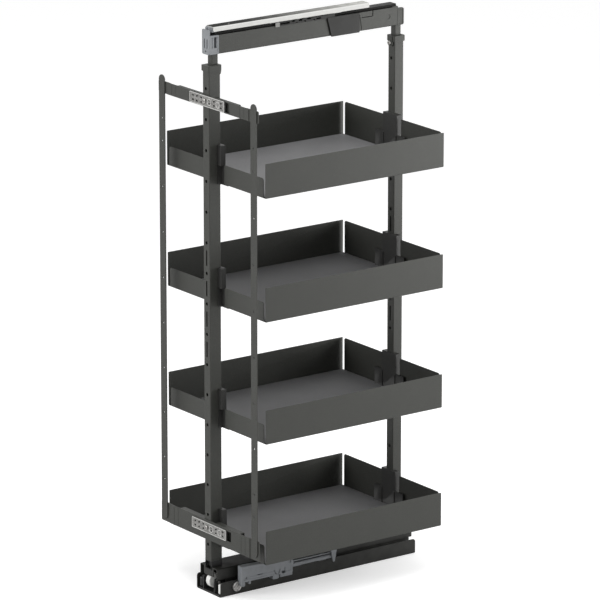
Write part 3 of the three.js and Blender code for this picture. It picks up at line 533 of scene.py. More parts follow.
# Lugs: how far behind the front end each one's middle is, its half length, how far it hangs
# below the body, and the bend of its lower corners.
for behind, half, drop, bend in (
        (4.5, 4.3, 9, 3.2), (20.7, 2.6, 6, 1.6), (86.5, 8, 8, 3.2), (113, 15.5, 6.5, 1.6)):
    lug_y, lug_bottom = y[0] + behind, body_bottom - drop
    lug = block("lug", (x[0], x[1] - 0.8), around(lug_y, half), (lug_bottom, body_bottom + 4))
    add_on(housing, rounded(lug, "x", bend, 5, lambda at: at.z < lug_bottom + 0.1))
adjuster = places("side_adjuster")
carve(
    housing,
    block("adjuster_room", (42, 47.4), (y[0] - 1, adjuster[1][1] + 0.6), (5, adjuster[2][1] + 0.6)))
# Pressed-in marks of the moulding: how far behind the front end and above the underside each
# one starts, its length, height and depth, and how far its top leans backwards.
for behind, above, long, high, deep, lean in (
        (9.5, 6.5, 4, 4, 3, 0), (22, 9.4, 62, 0.9, 1.5, 0), (40, 9, 14, 1.8, 6, 0),
        (86, 2, 1.8, 10, 3, -5), (92, 2, 1.8, 10, 3, 5), (101.5, 1.5, 9, 5, 9, 0),
        (108.8, 6.4, 1.8, 7, 5, 0), (121, 20, 2.2, 7, 4, 3)):
    from_y, from_z = y[0] + behind, body_bottom + above
    mark = block("mark", (x[1] - deep, x[1] + 1), (from_y, from_y + long), (from_z, from_z + high))
    carve(housing, taper(mark, "+z", y=lean))
add_on(
    housing, flange_hook(y[0] + 40, y[0] + 60, 35), flange_hook(y[1] - 40, y[1] - 20, 35))
break_edges(housing, 0.3)
fit(housing, grey_plastic, "grey_plastic", "floor_runner", "damper_housing")

x, y, z = places("damper_guide")
x, z = (flange_face, x[1]), (36, 49)
guide = block("damper_guide_moulding", x, y, z)
slot_cutter = block("slot", (x[0] - 1, x[1] + 1), (y[0] + 6, y[1] - 6), (z[1] - 5.5, z[1] - 2.5))
carve(
    guide, rounded(slot_cutter, "x", 1.4, 4),
    block("track", (x[1] - 1.2, x[1] + 1), (y[0] + 3, y[1] + 1), (z[0] + 5.6, z[0] + 6.4)))
add_on(
    guide, flange_hook(y[0] + 10, y[0] + 30, z[0] + 2),
    flange_hook(y[1] - 40, y[1] - 20, z[0] + 2))
break_edges(guide, 0.4)
fit(guide, grey_plastic, "grey_plastic", "floor_runner", "damper_guide")

guide_face, guide_top = x[1], z[1]
x, y, z = places("damper_catch")
catch = block("damper_catch_side", (guide_face + 0.3, x[1]), y, z)
rounded(taper(catch, "-z", (1, 0.3, 1)), "x", 1.2, 3)
saddle = block("saddle", (flange_face, x[1] - 1), y, (guide_top + 0.3, z[1]))
prong = block("prong", (x[0], flange_face + 2), (y[1] - 5, y[1]), (z[1] - 5, z[1]))
rounded(prong, "y", 1.5, 3, lambda at: at.x < x[0] + 0.1)
add_on(catch, saddle, prong)
rounded(catch, "y", 0.8, 2, lambda at: at.z > z[1] - 0.1 and at.x > x[1] - 1.5)
break_edges(catch, 0.3)
fit(catch, grey_plastic, "grey_plastic", "damper_catch", "damper_catch")


# ---------------------------------------------------------------- side adjuster
# The zinc plated screw on the near flange that sets the runner sideways. Its flat head has
# crossed grooves and a notched edge, and its shank goes through the flange.

x, y, z = adjuster
head_radius, groove_half, notches = (y[1] - y[0]) / 2, 0.8, 12
head = bar("side_adjuster_screw", "x", head_radius, (flange_face, x[1]), adjuster_at, 48)
rounded(head, "x", 0.7, 3, lambda at: at.x > x[1] - 0.1, across=True)
panel(head, "+x", 1.3, 0.3, -0.4)
for notch in range(notches):
    angle = math.tau * notch / notches
    way = (math.cos(angle), math.sin(angle))
    notch_at = [at + (head_radius + 0.4) * part for at, part in zip(adjuster_at, way)]
    carve(head, bar("notch", "x", 0.9, (flange_face - 1, x[1] + 1), notch_at, 12))
centre = (0, adjuster_at[0] * MM, adjuster_at[1] * MM)
groove_z = around(adjuster_at[1], 8)
for turn in (math.pi / 4, -math.pi / 4):
    for offset in (-5.2, 0, 5.2):
        groove_y = adjuster_at[0] + offset
        groove = block("groove", (x[1] - 3.2, x[1] + 1), around(groove_y, groove_half), groove_z)
        shape(groove)
        bpy.ops.mesh.select_all(action="SELECT")
        bpy.ops.transform.rotate(value=turn, orient_axis="X", center_override=centre)
        done()
        carve(head, groove)
add_on(head, bar("shank", "x", 3, (x[0], flange_face + 0.5), adjuster_at))
break_edges(head, 0.12)
fit(head, bright_zinc, "zinc", "side_adjuster", "side_adjuster")


# ---------------------------------------------------------------- middle runner
# Folded steel that slides half the way: it rolls on the front roller and on its own pair of
# rollers at the rear, and carries the lower beam on a pair of small rollers at its front.

def inverted_channel(name, half, y, z, gauge, bend):
    """A channel of sheet steel, open downwards."""
    piece = sheet(name, (-half, half), y, z[1])
    shape(piece)
    pick("EDGE", lambda at, way: abs(at.x) > half - 0.1)
    pull(z=z[0] - z[1])
    done()
    rounded(piece, "y", bend, 4, lambda at: at.z > z[1] - 0.1)
    thicken(piece, gauge)
    return piece


x, y, z = places("middle_runner")
leg_bottom, web_top = 8, 43.3
middle = inverted_channel("middle_runner_steel", x[1], y, (leg_bottom, web_top), 2, 2.5)
upper_at, rear_at = middles("upper_axle")[1:], middles("middle_axle")[1:]
for side in (-1, 1):
    lug = block("lug", sorted((19 * side, 21 * side)), around(upper_at[0], 6), (web_top - 1, z[1]))
    add_on(middle, rounded(lug, "x", 3, 4, lambda at: at.z > z[1] - 0.1))
carve(
    middle, bar("drill", "x", 1.7, (-24, 24), upper_at, 20),
    bar("drill", "x", 3.2, (-30, 30), rear_at, 28))
for slot_y in (y[0] + 90, y[1] - 120):
    window = block("window", (-7, 7), around(slot_y, 20), (web_top - 3, web_top + 1))
    carve(middle, rounded(window, "z", 6, 5))
break_edges(middle, 0.3)
fit(middle, dark_steel, "dark_steel", "middle_runner", "middle_runner")
for node, radius, at in (("middle_axle", 3, rear_at), ("upper_axle", 1.5, upper_at)):
    axle = pin_with_ends(f"{node}_pin", radius, places(node)[0], at, radius / 6)
    break_edges(axle, 0.1)
    fit(axle, zinc, "zinc", "middle_runner", node)
for pair, bore, hub in (("middle_roller", 3.4, 5.5), ("upper_roller", 1.9, 2.9)):
    for side in ("far", "near"):
        node = f"{pair}_{side}"
        fit(roller(node, "x", bore, hub, 0.6), nylon, "nylon", node, node)


# ---------------------------------------------------------------- lower beam
# The moving frame's foot: a folded channel, open downwards, that runs over the middle runner.
# A plate closes its front end, and the foot's mouth is notched into it. Both posts stand on
# it, and rivets hold their feet. The tongue on its near edge drives the damper's catch.

x, y, z = places("lower_beam")
lower_half, nose_drop, rivet_radius = 30, 20, 3
lower = inverted_channel("lower_beam_steel", lower_half, y, z, 2, 3)
catch_rear = places("damper_catch")[1][1]
tongue = block("tongue", (lower_half - 3, x[1]), (catch_rear - 6, catch_rear), (z[1] - 2, z[1]))
rounded(tongue, "z", 1.4, 3, lambda at: at.x > x[1] - 0.1)
nose = block("nose", (-17, 17), (y[0], y[0] + 2), (z[1] - nose_drop, z[1] - 1))
rounded(nose, "y", 3, 4, lambda at: at.z < z[1] - nose_drop + 1)
add_on(lower, tongue, nose)
carve(lower, block("mouth", (-8.5, 8.5), (y[0] - 1, y[0] + 7), (z[1] - 5, z[1] + 1)))
for end_y, inwards in ((y[0], 1), (y[1], -1)):
    for from_end in (36, 48):
        rivet_y = end_y + inwards * from_end
        dome = bar("rivet", "z", rivet_radius, (z[1] - 1, z[1] + 0.1), (0, rivet_y), 24)
        shape(dome)
        pick("FACE", looks("+z"))
        inset(1.2, 0.15)
        done()
        add_on(lower, dome)
break_edges(lower, 0.35)
fit(lower, dark_steel, "dark_steel", "frame", "lower_beam")


# ---------------------------------------------------------------- feet
# A short black foot under each post: its plug goes up into the tube, and its front is hollow,
# with a thin rim. It stands on the lower beam.

for end, side in (("front", "-y"), ("rear", "+y")):
    x, y, z = places(f"{end}_foot")
    foot_bottom, foot_top, plug_gap = z[1] - 34.5, z[1] - 22, 1.9
    foot = block(f"{end}_foot_moulding", x, y, (foot_bottom, foot_top))
    panel(rounded(foot, "z", 1.6, 3), side, 1.3, 0.2, -7)
    plug = block(
        "plug", (x[0] + plug_gap, x[1] - plug_gap), (y[0] + plug_gap, y[1] - plug_gap),
        (foot_top - 1, z[1]))
    add_on(foot, taper(plug, "+z", (0.85, 0.85, 1)))
    if end == "front":
        add_on(foot, block("apron", x, (y[0], y[0] + 1.2), (z[0], foot_bottom + 1)))
        carve(foot, block("mouth", (-9.6, 9.6), (y[0] - 1, y[0] + 7), (z[0] + 1.5, foot_top - 1.4)))
    break_edges(foot, 0.2)
    fit(foot, black_plastic, "black_plastic", "frame", f"{end}_foot")


# ---------------------------------------------------------------- posts
# Square steel tube, powder coated in anthracite. A row of holes 64 apart takes the tray
# holders' pegs, and the front post has four long slots. The feet and collars close its ends.

def anthracite_coat():
    """Anthracite powder coat with a fine texture: a satin sheen over tiny bumps, and light
    metallic specks in a warm dark grey."""
    finish = Finish("anthracite powder coat")
    texture = finish.noise(1.5, 3, 0.6)
    cloud = finish.spread(finish.noise(45, 3), 0.3, 0.7)
    speck = finish.spread(finish.noise(0.7, 3, 0.65), 0.5, 0.75)
    ground = finish.blend(cloud * 0.4, (0.030, 0.031, 0.027), (0.037, 0.038, 0.033))
    colour = finish.blend(speck * 0.6, ground, (0.105, 0.108, 0.095))
    return finish.give(
        Base_Color=colour, Metallic=0.2, Specular_IOR_Level=0.5,
        Roughness=0.46 + finish.spread(texture, 0.35, 0.65) * 0.12 - speck * 0.08,
        Normal=finish.bump(texture, 0.05, 0.7))


anthracite = anthracite_coat()


def tube(name, x, y, z, corner):
    """Square tube, open at both ends, with rounded corners."""
    piece = block(name, x, y, z)
    shape(piece)
    pick("FACE", looks("z"))
    bpy.ops.mesh.delete(type="FACE")
    done()
    rounded(piece, "z", corner, 4)
    thicken(piece, tube_wall)
    return piece


def row(piece, count, step):
    """Repeats a shape by a step on x, y and z."""
    modify(
        piece, "ARRAY", count=count, use_relative_offset=False, use_constant_offset=True,
        constant_offset_displace=[part * MM for part in step])
    return piece


tube_wall, hole_pitch, first_hole, hole_count, slot_count = 1.5, 64, 34.3, 16, 4
first_slot, slot_half, screw_room = first_hole + 6.5 * hole_pitch, 16.5, 2.9
clamp_z = middles("front_clamp_screw")[2]
for end, clamp_side in (("front", 1), ("rear", -1)):
    x, y, z = places(f"{end}_post")
    middle_y = sum(y) / 2
    post = tube(f"{end}_post_tube", x, y, z, 1.8)
    peg_hole = bar("peg_hole", "y", 3.5, (y[0] - 2, y[1] + 2), (0, z[0] + first_hole), 28)
    slot = block("slot", (-2, 2), (y[0] - 2, y[0] + 5), around(z[0] + first_slot, slot_half))
    rounded(slot, "y", 1.95, 5)
    clamp_y = sorted((middle_y, middle_y + clamp_side * 20))
    carve(
        post, row(peg_hole, hole_count, (0, 0, hole_pitch)), row(slot, slot_count, (0, 0, hole_pitch)),
        bar("clamp_hole", "y", screw_room, clamp_y, (0, clamp_z), 20))
    if end == "front":
        for plate in ("bottom", "top"):
            plate_z = middles(f"adjusting_plate_{plate}")[2]
            carve(post, bar("plate_hole", "y", screw_room, (y[0] - 2, middle_y), (0, plate_z), 20))
    break_edges(post, 0.15, 60)
    fit(post, anthracite, "anthracite", "frame", f"{end}_post")


# ---------------------------------------------------------------- collars and clamp screws
# A cast collar closes each post's upper end and guides the inner tube. A socket screw through
# the boss on its tray side clamps the tube at the height that the cabinet asks for.

def widened(stretch, gap):
    """A stretch with a gap added at both ends."""
    return stretch[0] - gap, stretch[1] + gap


slack, collar_wall, head_length = 0.3, 2, 3.4
for end, side in (("front", 1), ("rear", -1)):
    post_x, post_y = places(f"{end}_post")[:2]
    tube_x, tube_y = places(f"{end}_inner_tube")[:2]
    x, y, z = places(f"{end}_collar")
    collar_bottom = z[1] - 12.2
    seat_y = widened(post_y, slack)
    collar = block(f"{end}_collar_casting", x, widened(seat_y, collar_wall), (collar_bottom, z[1]))
    rounded(collar, "z", 2.4, 4)
    rounded(collar, "z", 0.9, 3, lambda at: at.z > z[1] - 0.1, across=True)
    boss_y = (seat_y[1], y[1]) if side > 0 else (y[0], seat_y[0])
    boss = block("boss", (-7, 7), boss_y, (z[0], z[1] - 1.2))
    add_on(collar, rounded(boss, "y", 4, 5, lambda at: at.z < z[0] + 0.1))
    carve(
        collar, block("seat", widened(post_x, slack), seat_y, (z[0] - 1, collar_bottom + 6.3)),
        block("bore", widened(tube_x, slack), widened(tube_y, slack), (collar_bottom, z[1] + 1)),
        bar("drill", "y", screw_room, around(sum(boss_y) / 2, 5), (0, clamp_z), 24))
    break_edges(collar, 0.3)
    fit(collar, anthracite, "anthracite", "frame", f"{end}_collar")

    y = places(f"{end}_clamp_screw")[1]
    tip, face = y if side > 0 else y[::-1]
    head_back = face - head_length * side
    screw = bar(
        f"{end}_clamp_screw_zinc", "y", 4.4, sorted((head_back, face)), (0, clamp_z), 40)
    rounded(screw, "y", 1.1, 4, lambda at: abs(at.y - face) < 0.1, across=True)
    socket_y = sorted((face - 1.6 * side, face + side))
    carve(screw, bar("socket", "y", 2.2, socket_y, (0, clamp_z), 6))
    add_on(screw, bar("shank", "y", 2.5, sorted((tip, head_back + 0.5 * side)), (0, clamp_z), 28))
    break_edges(screw, 0.12)
    fit(screw, zinc, "zinc", f"{end}_clamp_screw", f"{end}_clamp_screw")


# ---------------------------------------------------------------- inner tubes
# Smaller square tube that slides up out of each post and carries the top beam. It is coated
# like the posts, and its lower end stays well inside them.

for end in ("front", "rear"):
    inner = tube(f"{end}_inner_tube_steel", *places(f"{end}_inner_tube"), 1.4)
    break_edges(inner, 0.15, 60)
    fit(inner, anthracite, "anthracite", "upper_frame", f"{end}_inner_tube")


# ---------------------------------------------------------------- tray holders
# Die-cast holders, coated like the posts, two to a tray. A holder hangs on the post by two
# pegs; its hood and cheeks close round the post, its foot carries the mat's edge, and the
# tray's end rests on its shelf. All eight are the same, those at the rear turned round.

plate_y, hood_y, foot_z, plate_top, hood_top = (4.8, 7.3), (-4.2, 7.3), -3, 38, 80
post_half, peg_heights = 11.3, (4.3, 68.3)


def holder_peg(height, root):
    """A peg that reaches from the plate into the post, its end rounded."""
    peg = bar("peg", "y", 3, (2.2, root), (0, height), 24)
    return rounded(peg, "y", 0.8, 3, lambda at: at.y < 3, across=True)


def holder_casting():
    """The casting with the tray's end face at y = 0, +y into the tray, and the tray's underside
    at z = 0."""
    cast = block("tray_holder", (-50, 50), plate_y, (1.5, plate_top))
    rounded(cast, "y", 1.2, 3, lambda at: at.z > plate_top - 1)
    lower_plate = block("lower_plate", (-29.6, 29.6), plate_y, (foot_z, plate_top))
    hood = block("hood", (-24, 24), hood_y, (plate_top, hood_top))
    rounded(hood, "y", 1.4, 3, lambda at: at.z > hood_top - 1)
    rounded(hood, "x", 0.9, 3, lambda at: at.z > hood_top - 1)
    panel(hood, "-z", 1.4, 0.1, -6)
    shelf = block("shelf", (-35, 35), (plate_y[0], plate_y[0] + 12), (foot_z, foot_z + 2.7))
    parts = [lower_plate, hood, rounded(shelf, "z", 4, 4, lambda at: at.y > 16)]
    for side in (-1, 1):
        cheek_x = sorted((post_half * side, (post_half + 2) * side))
        cheek = block("cheek", cheek_x, (hood_y[0], 5), (foot_z, hood_top))
        rib = block("rib", sorted((20.5 * side, 22.5 * side)), (7, 9), (1.5, plate_top))
        parts.append(rounded(cheek, "x", 3, 4, lambda at: at.y < 0 and at.z < 0))
        parts.append(taper(rib, "+y", (0.5, 1, 0.9)))
    # The pegs go in twice: the room cut for the post takes the first ones off again, and they
    # leave the faces round them split in the way that the shading follows.
    add_on(cast, *parts, *[holder_peg(height, 5.8) for height in peg_heights])
    carve(cast, block("post_room", (-post_half, post_half), (-10, plate_y[0]), (-10, hood_top + 10)))
    add_on(cast, *[holder_peg(height, 5.4) for height in peg_heights])
    break_edges(cast, 0.35)
    return cast


def dark_cast_coat():
    """The same powder coat over a die casting: darker, rougher, with a faint orange peel."""
    finish = Finish("coated casting")
    texture = finish.noise(1.1, 3, 0.6)
    peel = finish.noise(3.5, 2)
    speck = finish.spread(finish.noise(1.0, 2), 0.54, 0.72)
    colour = finish.blend(speck * 0.5, (0.017, 0.017, 0.016), (0.060, 0.061, 0.056))
    return finish.give(
        Base_Color=colour, Specular_IOR_Level=0.5, Roughness=0.45 + texture * 0.12,
        Normal=finish.bump(texture, 0.04, 0.7, finish.bump(peel, 0.06, 0.5)))


tray_count = 4
cast_coat = dark_cast_coat()
holder = holder_casting()
for end, tray_end, turn in (("front", 0, 0), ("rear", 1, math.pi)):
    for number in range(1, tray_count + 1):
        tray_y, tray_z = places(f"tray_{number}")[1:]
        copy = holder.copy()
        copy.data = holder.data.copy()
        copy.name = copy.data.name = f"tray_holder_{end}_{number}"
        bpy.context.collection.objects.link(copy)
        take(copy)
        copy.rotation_euler.z = turn
        copy.location = (0, tray_y[tray_end] * MM, tray_z[0] * MM)
        bpy.ops.object.transform_apply(location=True, rotation=True, scale=True)
        fit(copy, cast_coat, "dark_steel", "frame", f"holder_{end}_{number}")
bpy.data.objects.remove(holder)


# ---------------------------------------------------------------- trays
# Each tray is one sheet of 1.2 steel, folded up on four sides and coated like the posts. The
# front wall is low. The end walls stop short of the side walls, which leaves a slit at each
# corner, and the floor and the end walls are notched in the middle for the holders.

tray_gauge, tray_wall, tray_front, tray_bend = 1.2, 72, 41, 1.8
wall_notch, floor_notch, notch_depth = 30, 50.4, 7.9
slit_from, wall_corner, notch_corner = 164.8, 5, 2.5


def folded_tray(name, x, y, z):
    """The sheet with its four walls folded up, cut out and rounded, in its place."""
    tray = sheet(name, x, y, z + tray_wall)
    shape(tray)
    bpy.ops.mesh.select_all(action="SELECT")
    pull(z=-tray_wall)
    pick("FACE", lambda at, out: at.z > z + tray_wall - 0.1)
    bpy.ops.mesh.delete(type="FACE")
    pick("EDGE", lambda at, way: abs(way.z) < 0.1 and at.z < z + 1)
    round_off(tray_bend, 4)
    done()
    thicken(tray, tray_gauge)
    inner = x[1] - tray_gauge
    floor_top, above = z + tray_gauge, z + tray_wall + 5
    cutters = [block("front_cut", (-inner, inner), (y[0] - 1, y[0] + 3), (z + tray_front, above))]
    for end, inwards in ((y[0], 1), (y[1], -1)):
        wall = sorted((end - inwards, end + 3 * inwards))
        for side in (-1, 1):
            slit = sorted((side * slit_from, side * inner))
            cutters.append(block("slit", slit, wall, (floor_top, above)))
        for notch_half, start, top in (
                (wall_notch, -1, above), (floor_notch, tray_gauge, floor_top + 1)):
            notch = sorted((end + start * inwards, end + notch_depth * inwards))
            cutters.append(block("notch", (-notch_half, notch_half), notch, (z - 1, top)))
    carve(tray, *cutters)
    rounded(tray, "x", wall_corner, 5, lambda at: at.z > z + tray_wall - 0.1 and abs(at.x) > inner)
    for edge, radius, steps in ((slit_from, wall_corner, 5), (wall_notch, notch_corner, 4)):
        rounded(
            tray, "y", radius, steps, lambda at: abs(abs(at.x) - edge) < 0.1 and at.z > z + 30)
    break_edges(tray, 0.22)
    return tray


def rubber_mat(name, x, y, z):
    """A sheet of mat, notched at both ends for the holders' feet."""
    mat = block(name, x, y, z)
    for end, inwards in ((y[0], 1), (y[1], -1)):
        notch = sorted((end - inwards, end + 5.8 * inwards))
        carve(mat, block("notch", (-51.5, 51.5), notch, (z[0] - 1, z[1] + 1)))
    rounded(mat, "z", 4, 4, lambda at: abs(at.x) > 60)
    rounded(mat, "z", 1.5, 3, lambda at: abs(at.x) < 60)
    break_edges(mat, 0.3)
    return mat


def mat_grey():
    """Grey non-slip mat: a close pebbled face with a satin bloom, paler where it is worn."""
    finish = Finish("grey mat")
    pebble = finish.cells(1.6)
    worn = finish.spread(finish.noise(70, 4, 0.6), 0.35, 0.7)
    dust = finish.spread(finish.noise(2.2, 3), 0.45, 0.75)
    colour = finish.blend(worn * 0.6 + dust * 0.4, (0.145, 0.145, 0.148), (0.195, 0.195, 0.198))
    return finish.give(
        Base_Color=colour, Roughness=0.62 + worn * 0.12, Normal=finish.bump(pebble, 0.12, 0.5))


mat_finish = mat_grey()
for number in range(1, tray_count + 1):
    node = f"tray_{number}"
    x, y, z = places(node)
    fit(folded_tray(f"{node}_steel", x, y, z[0]), anthracite, "anthracite", node, node)
    mat = rubber_mat(f"tray_mat_{number}_rubber", *places(f"tray_mat_{number}"))
    fit(mat, mat_finish, "mat", node, f"tray_mat_{number}")


# ---------------------------------------------------------------- top beam, its caps and its cover
# A folded channel, open upwards, joins the two inner tubes. A blue-grey moulded cap closes its
# front end and stands above it, a metal one its rear end. A plate covers its near side.

x, y, z = places("top_beam")
beam_gauge, beam_bend = 1.5, 2.5
beam = sheet("top_beam_steel", x, y, z[0])
shape(beam)
pick("EDGE", lambda at, way: abs(at.x) > x[1] - 0.1)
pull(z=z[1] - z[0])
done()
rounded(beam, "y", beam_bend, 4, lambda at: at.z < z[0] + 0.1)
thicken(beam, beam_gauge)
dimple = bar("dimple", "x", 5, (x[1] - 0.9, x[1] + 1), (196, z[0] + 21), 40)
seam_y = places("top_cover")[1][1] + 0.8
seam = block("seam", (x[1] - 1, x[1] + 1), (seam_y, seam_y + 1.6), (z[0] - 1, z[1] - 3))
carve(
    beam, dimple, taper(seam, "-z", y=6),
    block("tab_slot", (x[1] - 3, x[1] + 1), (155.5, 157.5), (z[1] - 12, z[1] + 1)),
    block("tab_slot", (x[1] - 3, x[1] + 1), (128, 157), (z[1] - 12, z[1] - 10.6)))
break_edges(beam, 0.3)
fit(beam, anthracite, "anthracite", "upper_frame", "top_beam")

x, y, z = places("top_front_cap")
beam_top = z[1] - 12
cap = block("top_front_cap_moulding", x, (y[0] + 2.5, y[1]), (z[0], beam_top))
rounded(cap, "y", 1.4, 3)
for side in ("-x", "+x"):
    panel(cap, side, 2.4, 0.3, -0.6)
panel(cap, "+z", 2, 0.3, -3)
face = block("face", x, (y[0], y[0] + 2.6), z)
add_on(cap, panel(rounded(face, "y", 3, 4), "-y", 1.6, 0.3, -0.4))
for window_y, window_half in ((y[1] - 8.4, 2.9), (y[1] - 16, 0.6)):
    carve(cap, block(
        "side_window", (x[1] - 12, x[1] + 1), around(window_y, window_half),
        (beam_top - 26, beam_top - 3.4)))
for side in (-1, 1):
    slot = block("slot", sorted((side * 3, side * 6)), (y[0] - 1, y[0] + 8), (z[1] - 39, z[1] - 19))
    carve(cap, rounded(slot, "y", 1.3, 4))
carve(cap, bar("hole", "y", 2, (y[0] - 1, y[0] + 8), (0, z[0] + 6), 24))
break_edges(cap, 0.3)
fit(cap, grey_plastic, "grey_plastic", "upper_frame", "top_front_cap")

x, y, z = places("top_rear_cap")
cap = block("top_rear_cap_steel", x, y, z)
rounded(cap, "x", 4, 5, lambda at: at.y > y[1] - 0.1)
panel(cap, "+x", 3, 0.4, -0.7)
carve(cap, block("neck_room", (-7, 7), widened(y, 1), (z[1] - 14, z[1] + 1)))
break_edges(cap, 0.4)
fit(cap, anthracite, "anthracite", "upper_frame", "top_rear_cap")

x, y, z = places("top_cover")
cover_front, cover_top, cover_lean = y[1] - 82, beam_top + 1, 11
arm_x, arm_tab_end = (x[0], x[0] + 2), y[0] + 10
cover = block("top_cover_moulding", x, (cover_front, y[1]), (z[0], cover_top))
shape(cover)
pick("EDGE", lambda at, way: abs(way.x) > 0.9 and at.y < cover_front + 0.1 and at.z < z[0] + 0.1)
bpy.ops.transform.translate(value=(0, cover_lean * MM, 0))
done()
rounded(cover, "x", 1.2, 3)
rounded(cover, "x", 0.7, 2, lambda at: at.x > x[1] - 0.1, across=True)
arm = block("arm", arm_x, (y[0], cover_front + 20), (beam_top - 1, z[1]))
# Gaps in the arm: how far behind its front end each one starts, its length, and the heights
# over the beam between which it lies.
gaps = [
    block("gap", widened(arm_x, 1), (y[0] + behind, y[0] + behind + long), (beam_top + low, beam_top + high))
    for behind, long, low, high in (
        (10.6, 24, 1.2, 5), (40, 7, 3.6, 7), (50, 4, -2, 1.6), (57, 9, 2.8, 7), (70, 5, -2, 2.4),
        (78, 10, 3.4, 7), (92, 6, -2, 2), (101, 12, 1, 4))]
carve(arm, *gaps)
add_on(cover, arm, block("arm_tab", arm_x, (y[0], arm_tab_end), (beam_top - 2.4, z[1])))
break_edges(cover, 0.15)


def tab_ended_coat(tab_end):
    """Black coat that stops short of the arm's tab, whose bare metal shows."""
    finish = Finish("black coat with a bare tab")
    bare = finish.spread(finish.coordinate("Y"), (tab_end + 0.2) * MM, (tab_end - 0.2) * MM)
    cloud = finish.spread(finish.noise(22, 3), 0.35, 0.7)
    speck = finish.spread(finish.noise(0.9, 2), 0.45, 0.75)
    black = finish.blend(cloud * 0.6 + speck * 0.3, (0.009, 0.009, 0.008), (0.019, 0.019, 0.017))
    return finish.give(
        Base_Color=finish.blend(bare, black, (0.26, 0.26, 0.25)), Specular_IOR_Level=0.25,
        Roughness=0.4 + cloud * 0.12, Normal=finish.bump(speck, 0.02, 0.5))


fit(cover, tab_ended_coat(arm_tab_end), "dark_steel", "upper_frame", "top_cover")


# ---------------------------------------------------------------- ceiling runner
# The zinc plated rail on the cabinet's ceiling is a folded channel, open downwards. A cage of
# steel balls rolls between it and the black middle rail, whose neck slides in the top beam.

x, y, z = places("top_middle_rail")
rail_bottom, neck_half = z[1] - 5, 6
rail = block("top_middle_rail_steel", x, y, (rail_bottom, z[1]))
panel(rounded(rail, "z", 2.5, 3), "x", 0.9, 0.5, -0.8)
neck = block("neck", (-neck_half, neck_half), (y[0] + 15, y[1] - 13), (z[0], rail_bottom + 1))
add_on(rail, rounded(neck, "x", 4, 4, lambda at: at.z < z[0] + 0.1))
break_edges(rail, 0.3)
# The middle rail is black steel; its coat is darkened further as painted shade for the shadow it lies in
# under the top beam.
painted_shade = black_coat("burnished black", 0.004, 0.010, 0.12)
fit(rail, painted_shade, "dark_steel", "top_middle_rail", "top_middle_rail")

x, y, z = places("ball_cage")
ball_count, ball_step, ball_radius = 14, 12, 2.4
cage = rounded(block("ball_cage_moulding", x, y, z), "z", 2, 3)
for side in (-1, 1):
    window_x = sorted((side * 6.5, side * 12))
    window = block("window", window_x, (y[0] + 6, y[0] + 13), widened(z, -1.4))
    carve(cage, row(window, ball_count, (0, ball_step, 0)))
    bpy.ops.mesh.primitive_uv_sphere_add(
        segments=20, ring_count=12, radius=ball_radius * MM,
        location=(side * 8.4 * MM, (y[0] + 9.5) * MM, sum(z) / 2 * MM))
    add_on(cage, row(named("ball"), ball_count, (0, ball_step, 0)))
break_edges(cage, 0.2, 50)
fit(cage, nylon, "nylon", "ball_cage", "ball_cage")

x, y, z = places("ceiling_rail")
rail = inverted_channel("ceiling_rail_zinc", x[1], y, z, 1.5, 2.6)
for hole_y in (y[0] + 46.5, y[1] - 19.5, y[1] - 46.5, y[1] - 93, y[1] - 174.5):
    carve(rail, bar("hole", "z", 2.5, (z[1] - 4, z[1] + 1), (0, hole_y), 24))
rounded(rail, "x", 2, 4, lambda at: at.z < z[0] + 0.1)
break_edges(rail, 0.25)


def zinc_with_painted_reflection(front, rear, top_z):
    """Zinc with a painted reflection: its flat top's colour is painted dark at the front end, as the
    reflection of a dark wall, and paler towards the rear, and its sides stay bright. Fine rolling lines run
    along it."""
    finish = Finish("polished zinc")
    height = finish.coordinate("Z")
    rolled = finish.noise(1.0, 3, 0.6, (1, 0.02, 1))
    smear = finish.spread(finish.noise(16, 3), 0.35, 0.7)
    # Painted reflection: the top's colour runs from near black at the front to pale at the rear, by place
    # along y, and only the flat top gets it.
    pale = finish.spread(finish.coordinate("Y"), front * MM, rear * MM) + smear * 0.12
    top = finish.blend(pale ** 1.6, (0.012, 0.012, 0.011), (0.60, 0.60, 0.57))
    side = finish.blend(rolled * 0.3 + smear * 0.2, (0.74, 0.74, 0.72), (0.56, 0.56, 0.54))
    flat = finish.spread(height, (top_z - 0.7) * MM, (top_z - 0.15) * MM)
    return finish.give(
        Base_Color=finish.blend(flat, side, top), IOR=1.05,
        Roughness=0.34 + rolled * 0.12, Normal=finish.bump(rolled, 0.02, 0.5))


fit(rail, zinc_with_painted_reflection(y[0] + 75, y[0] + 455, z[1]), "zinc", "ceiling_rail", "ceiling_rail")

x, y, z = places("ceiling_rail_stop")
stop = rounded(block("ceiling_rail_stop_moulding", x, (y[0] + 4, y[1]), z), "z", 1.5, 3)
for ring_x in (-5, 5):
    ring = rounded(bar("ring", "z", 4, z, (ring_x, y[0] + 4)), "z", 0.8, 3, across=True)
    add_on(stop, panel(ring, "z", 1, 0.2, -3))
break_edges(stop, 0.2)
fit(stop, grey_plastic, "grey_plastic", "ceiling_rail", "ceiling_rail_stop")


# ---------------------------------------------------------------- door fixing frame
# Two strips with countersunk holes are screwed to the door's back. Two rails join them: each is
# a length of sheet with a flange along both edges, a window for the adjusting plate in the
# middle, and a pressed sleeve at each end whose tab lies behind the strip.

rail_front = places("door_rail_top")[1][0]
web, tab, door_middle = 1.2, 1.5, 8
web_half, tab_half, flange_half = 142, 174, 106


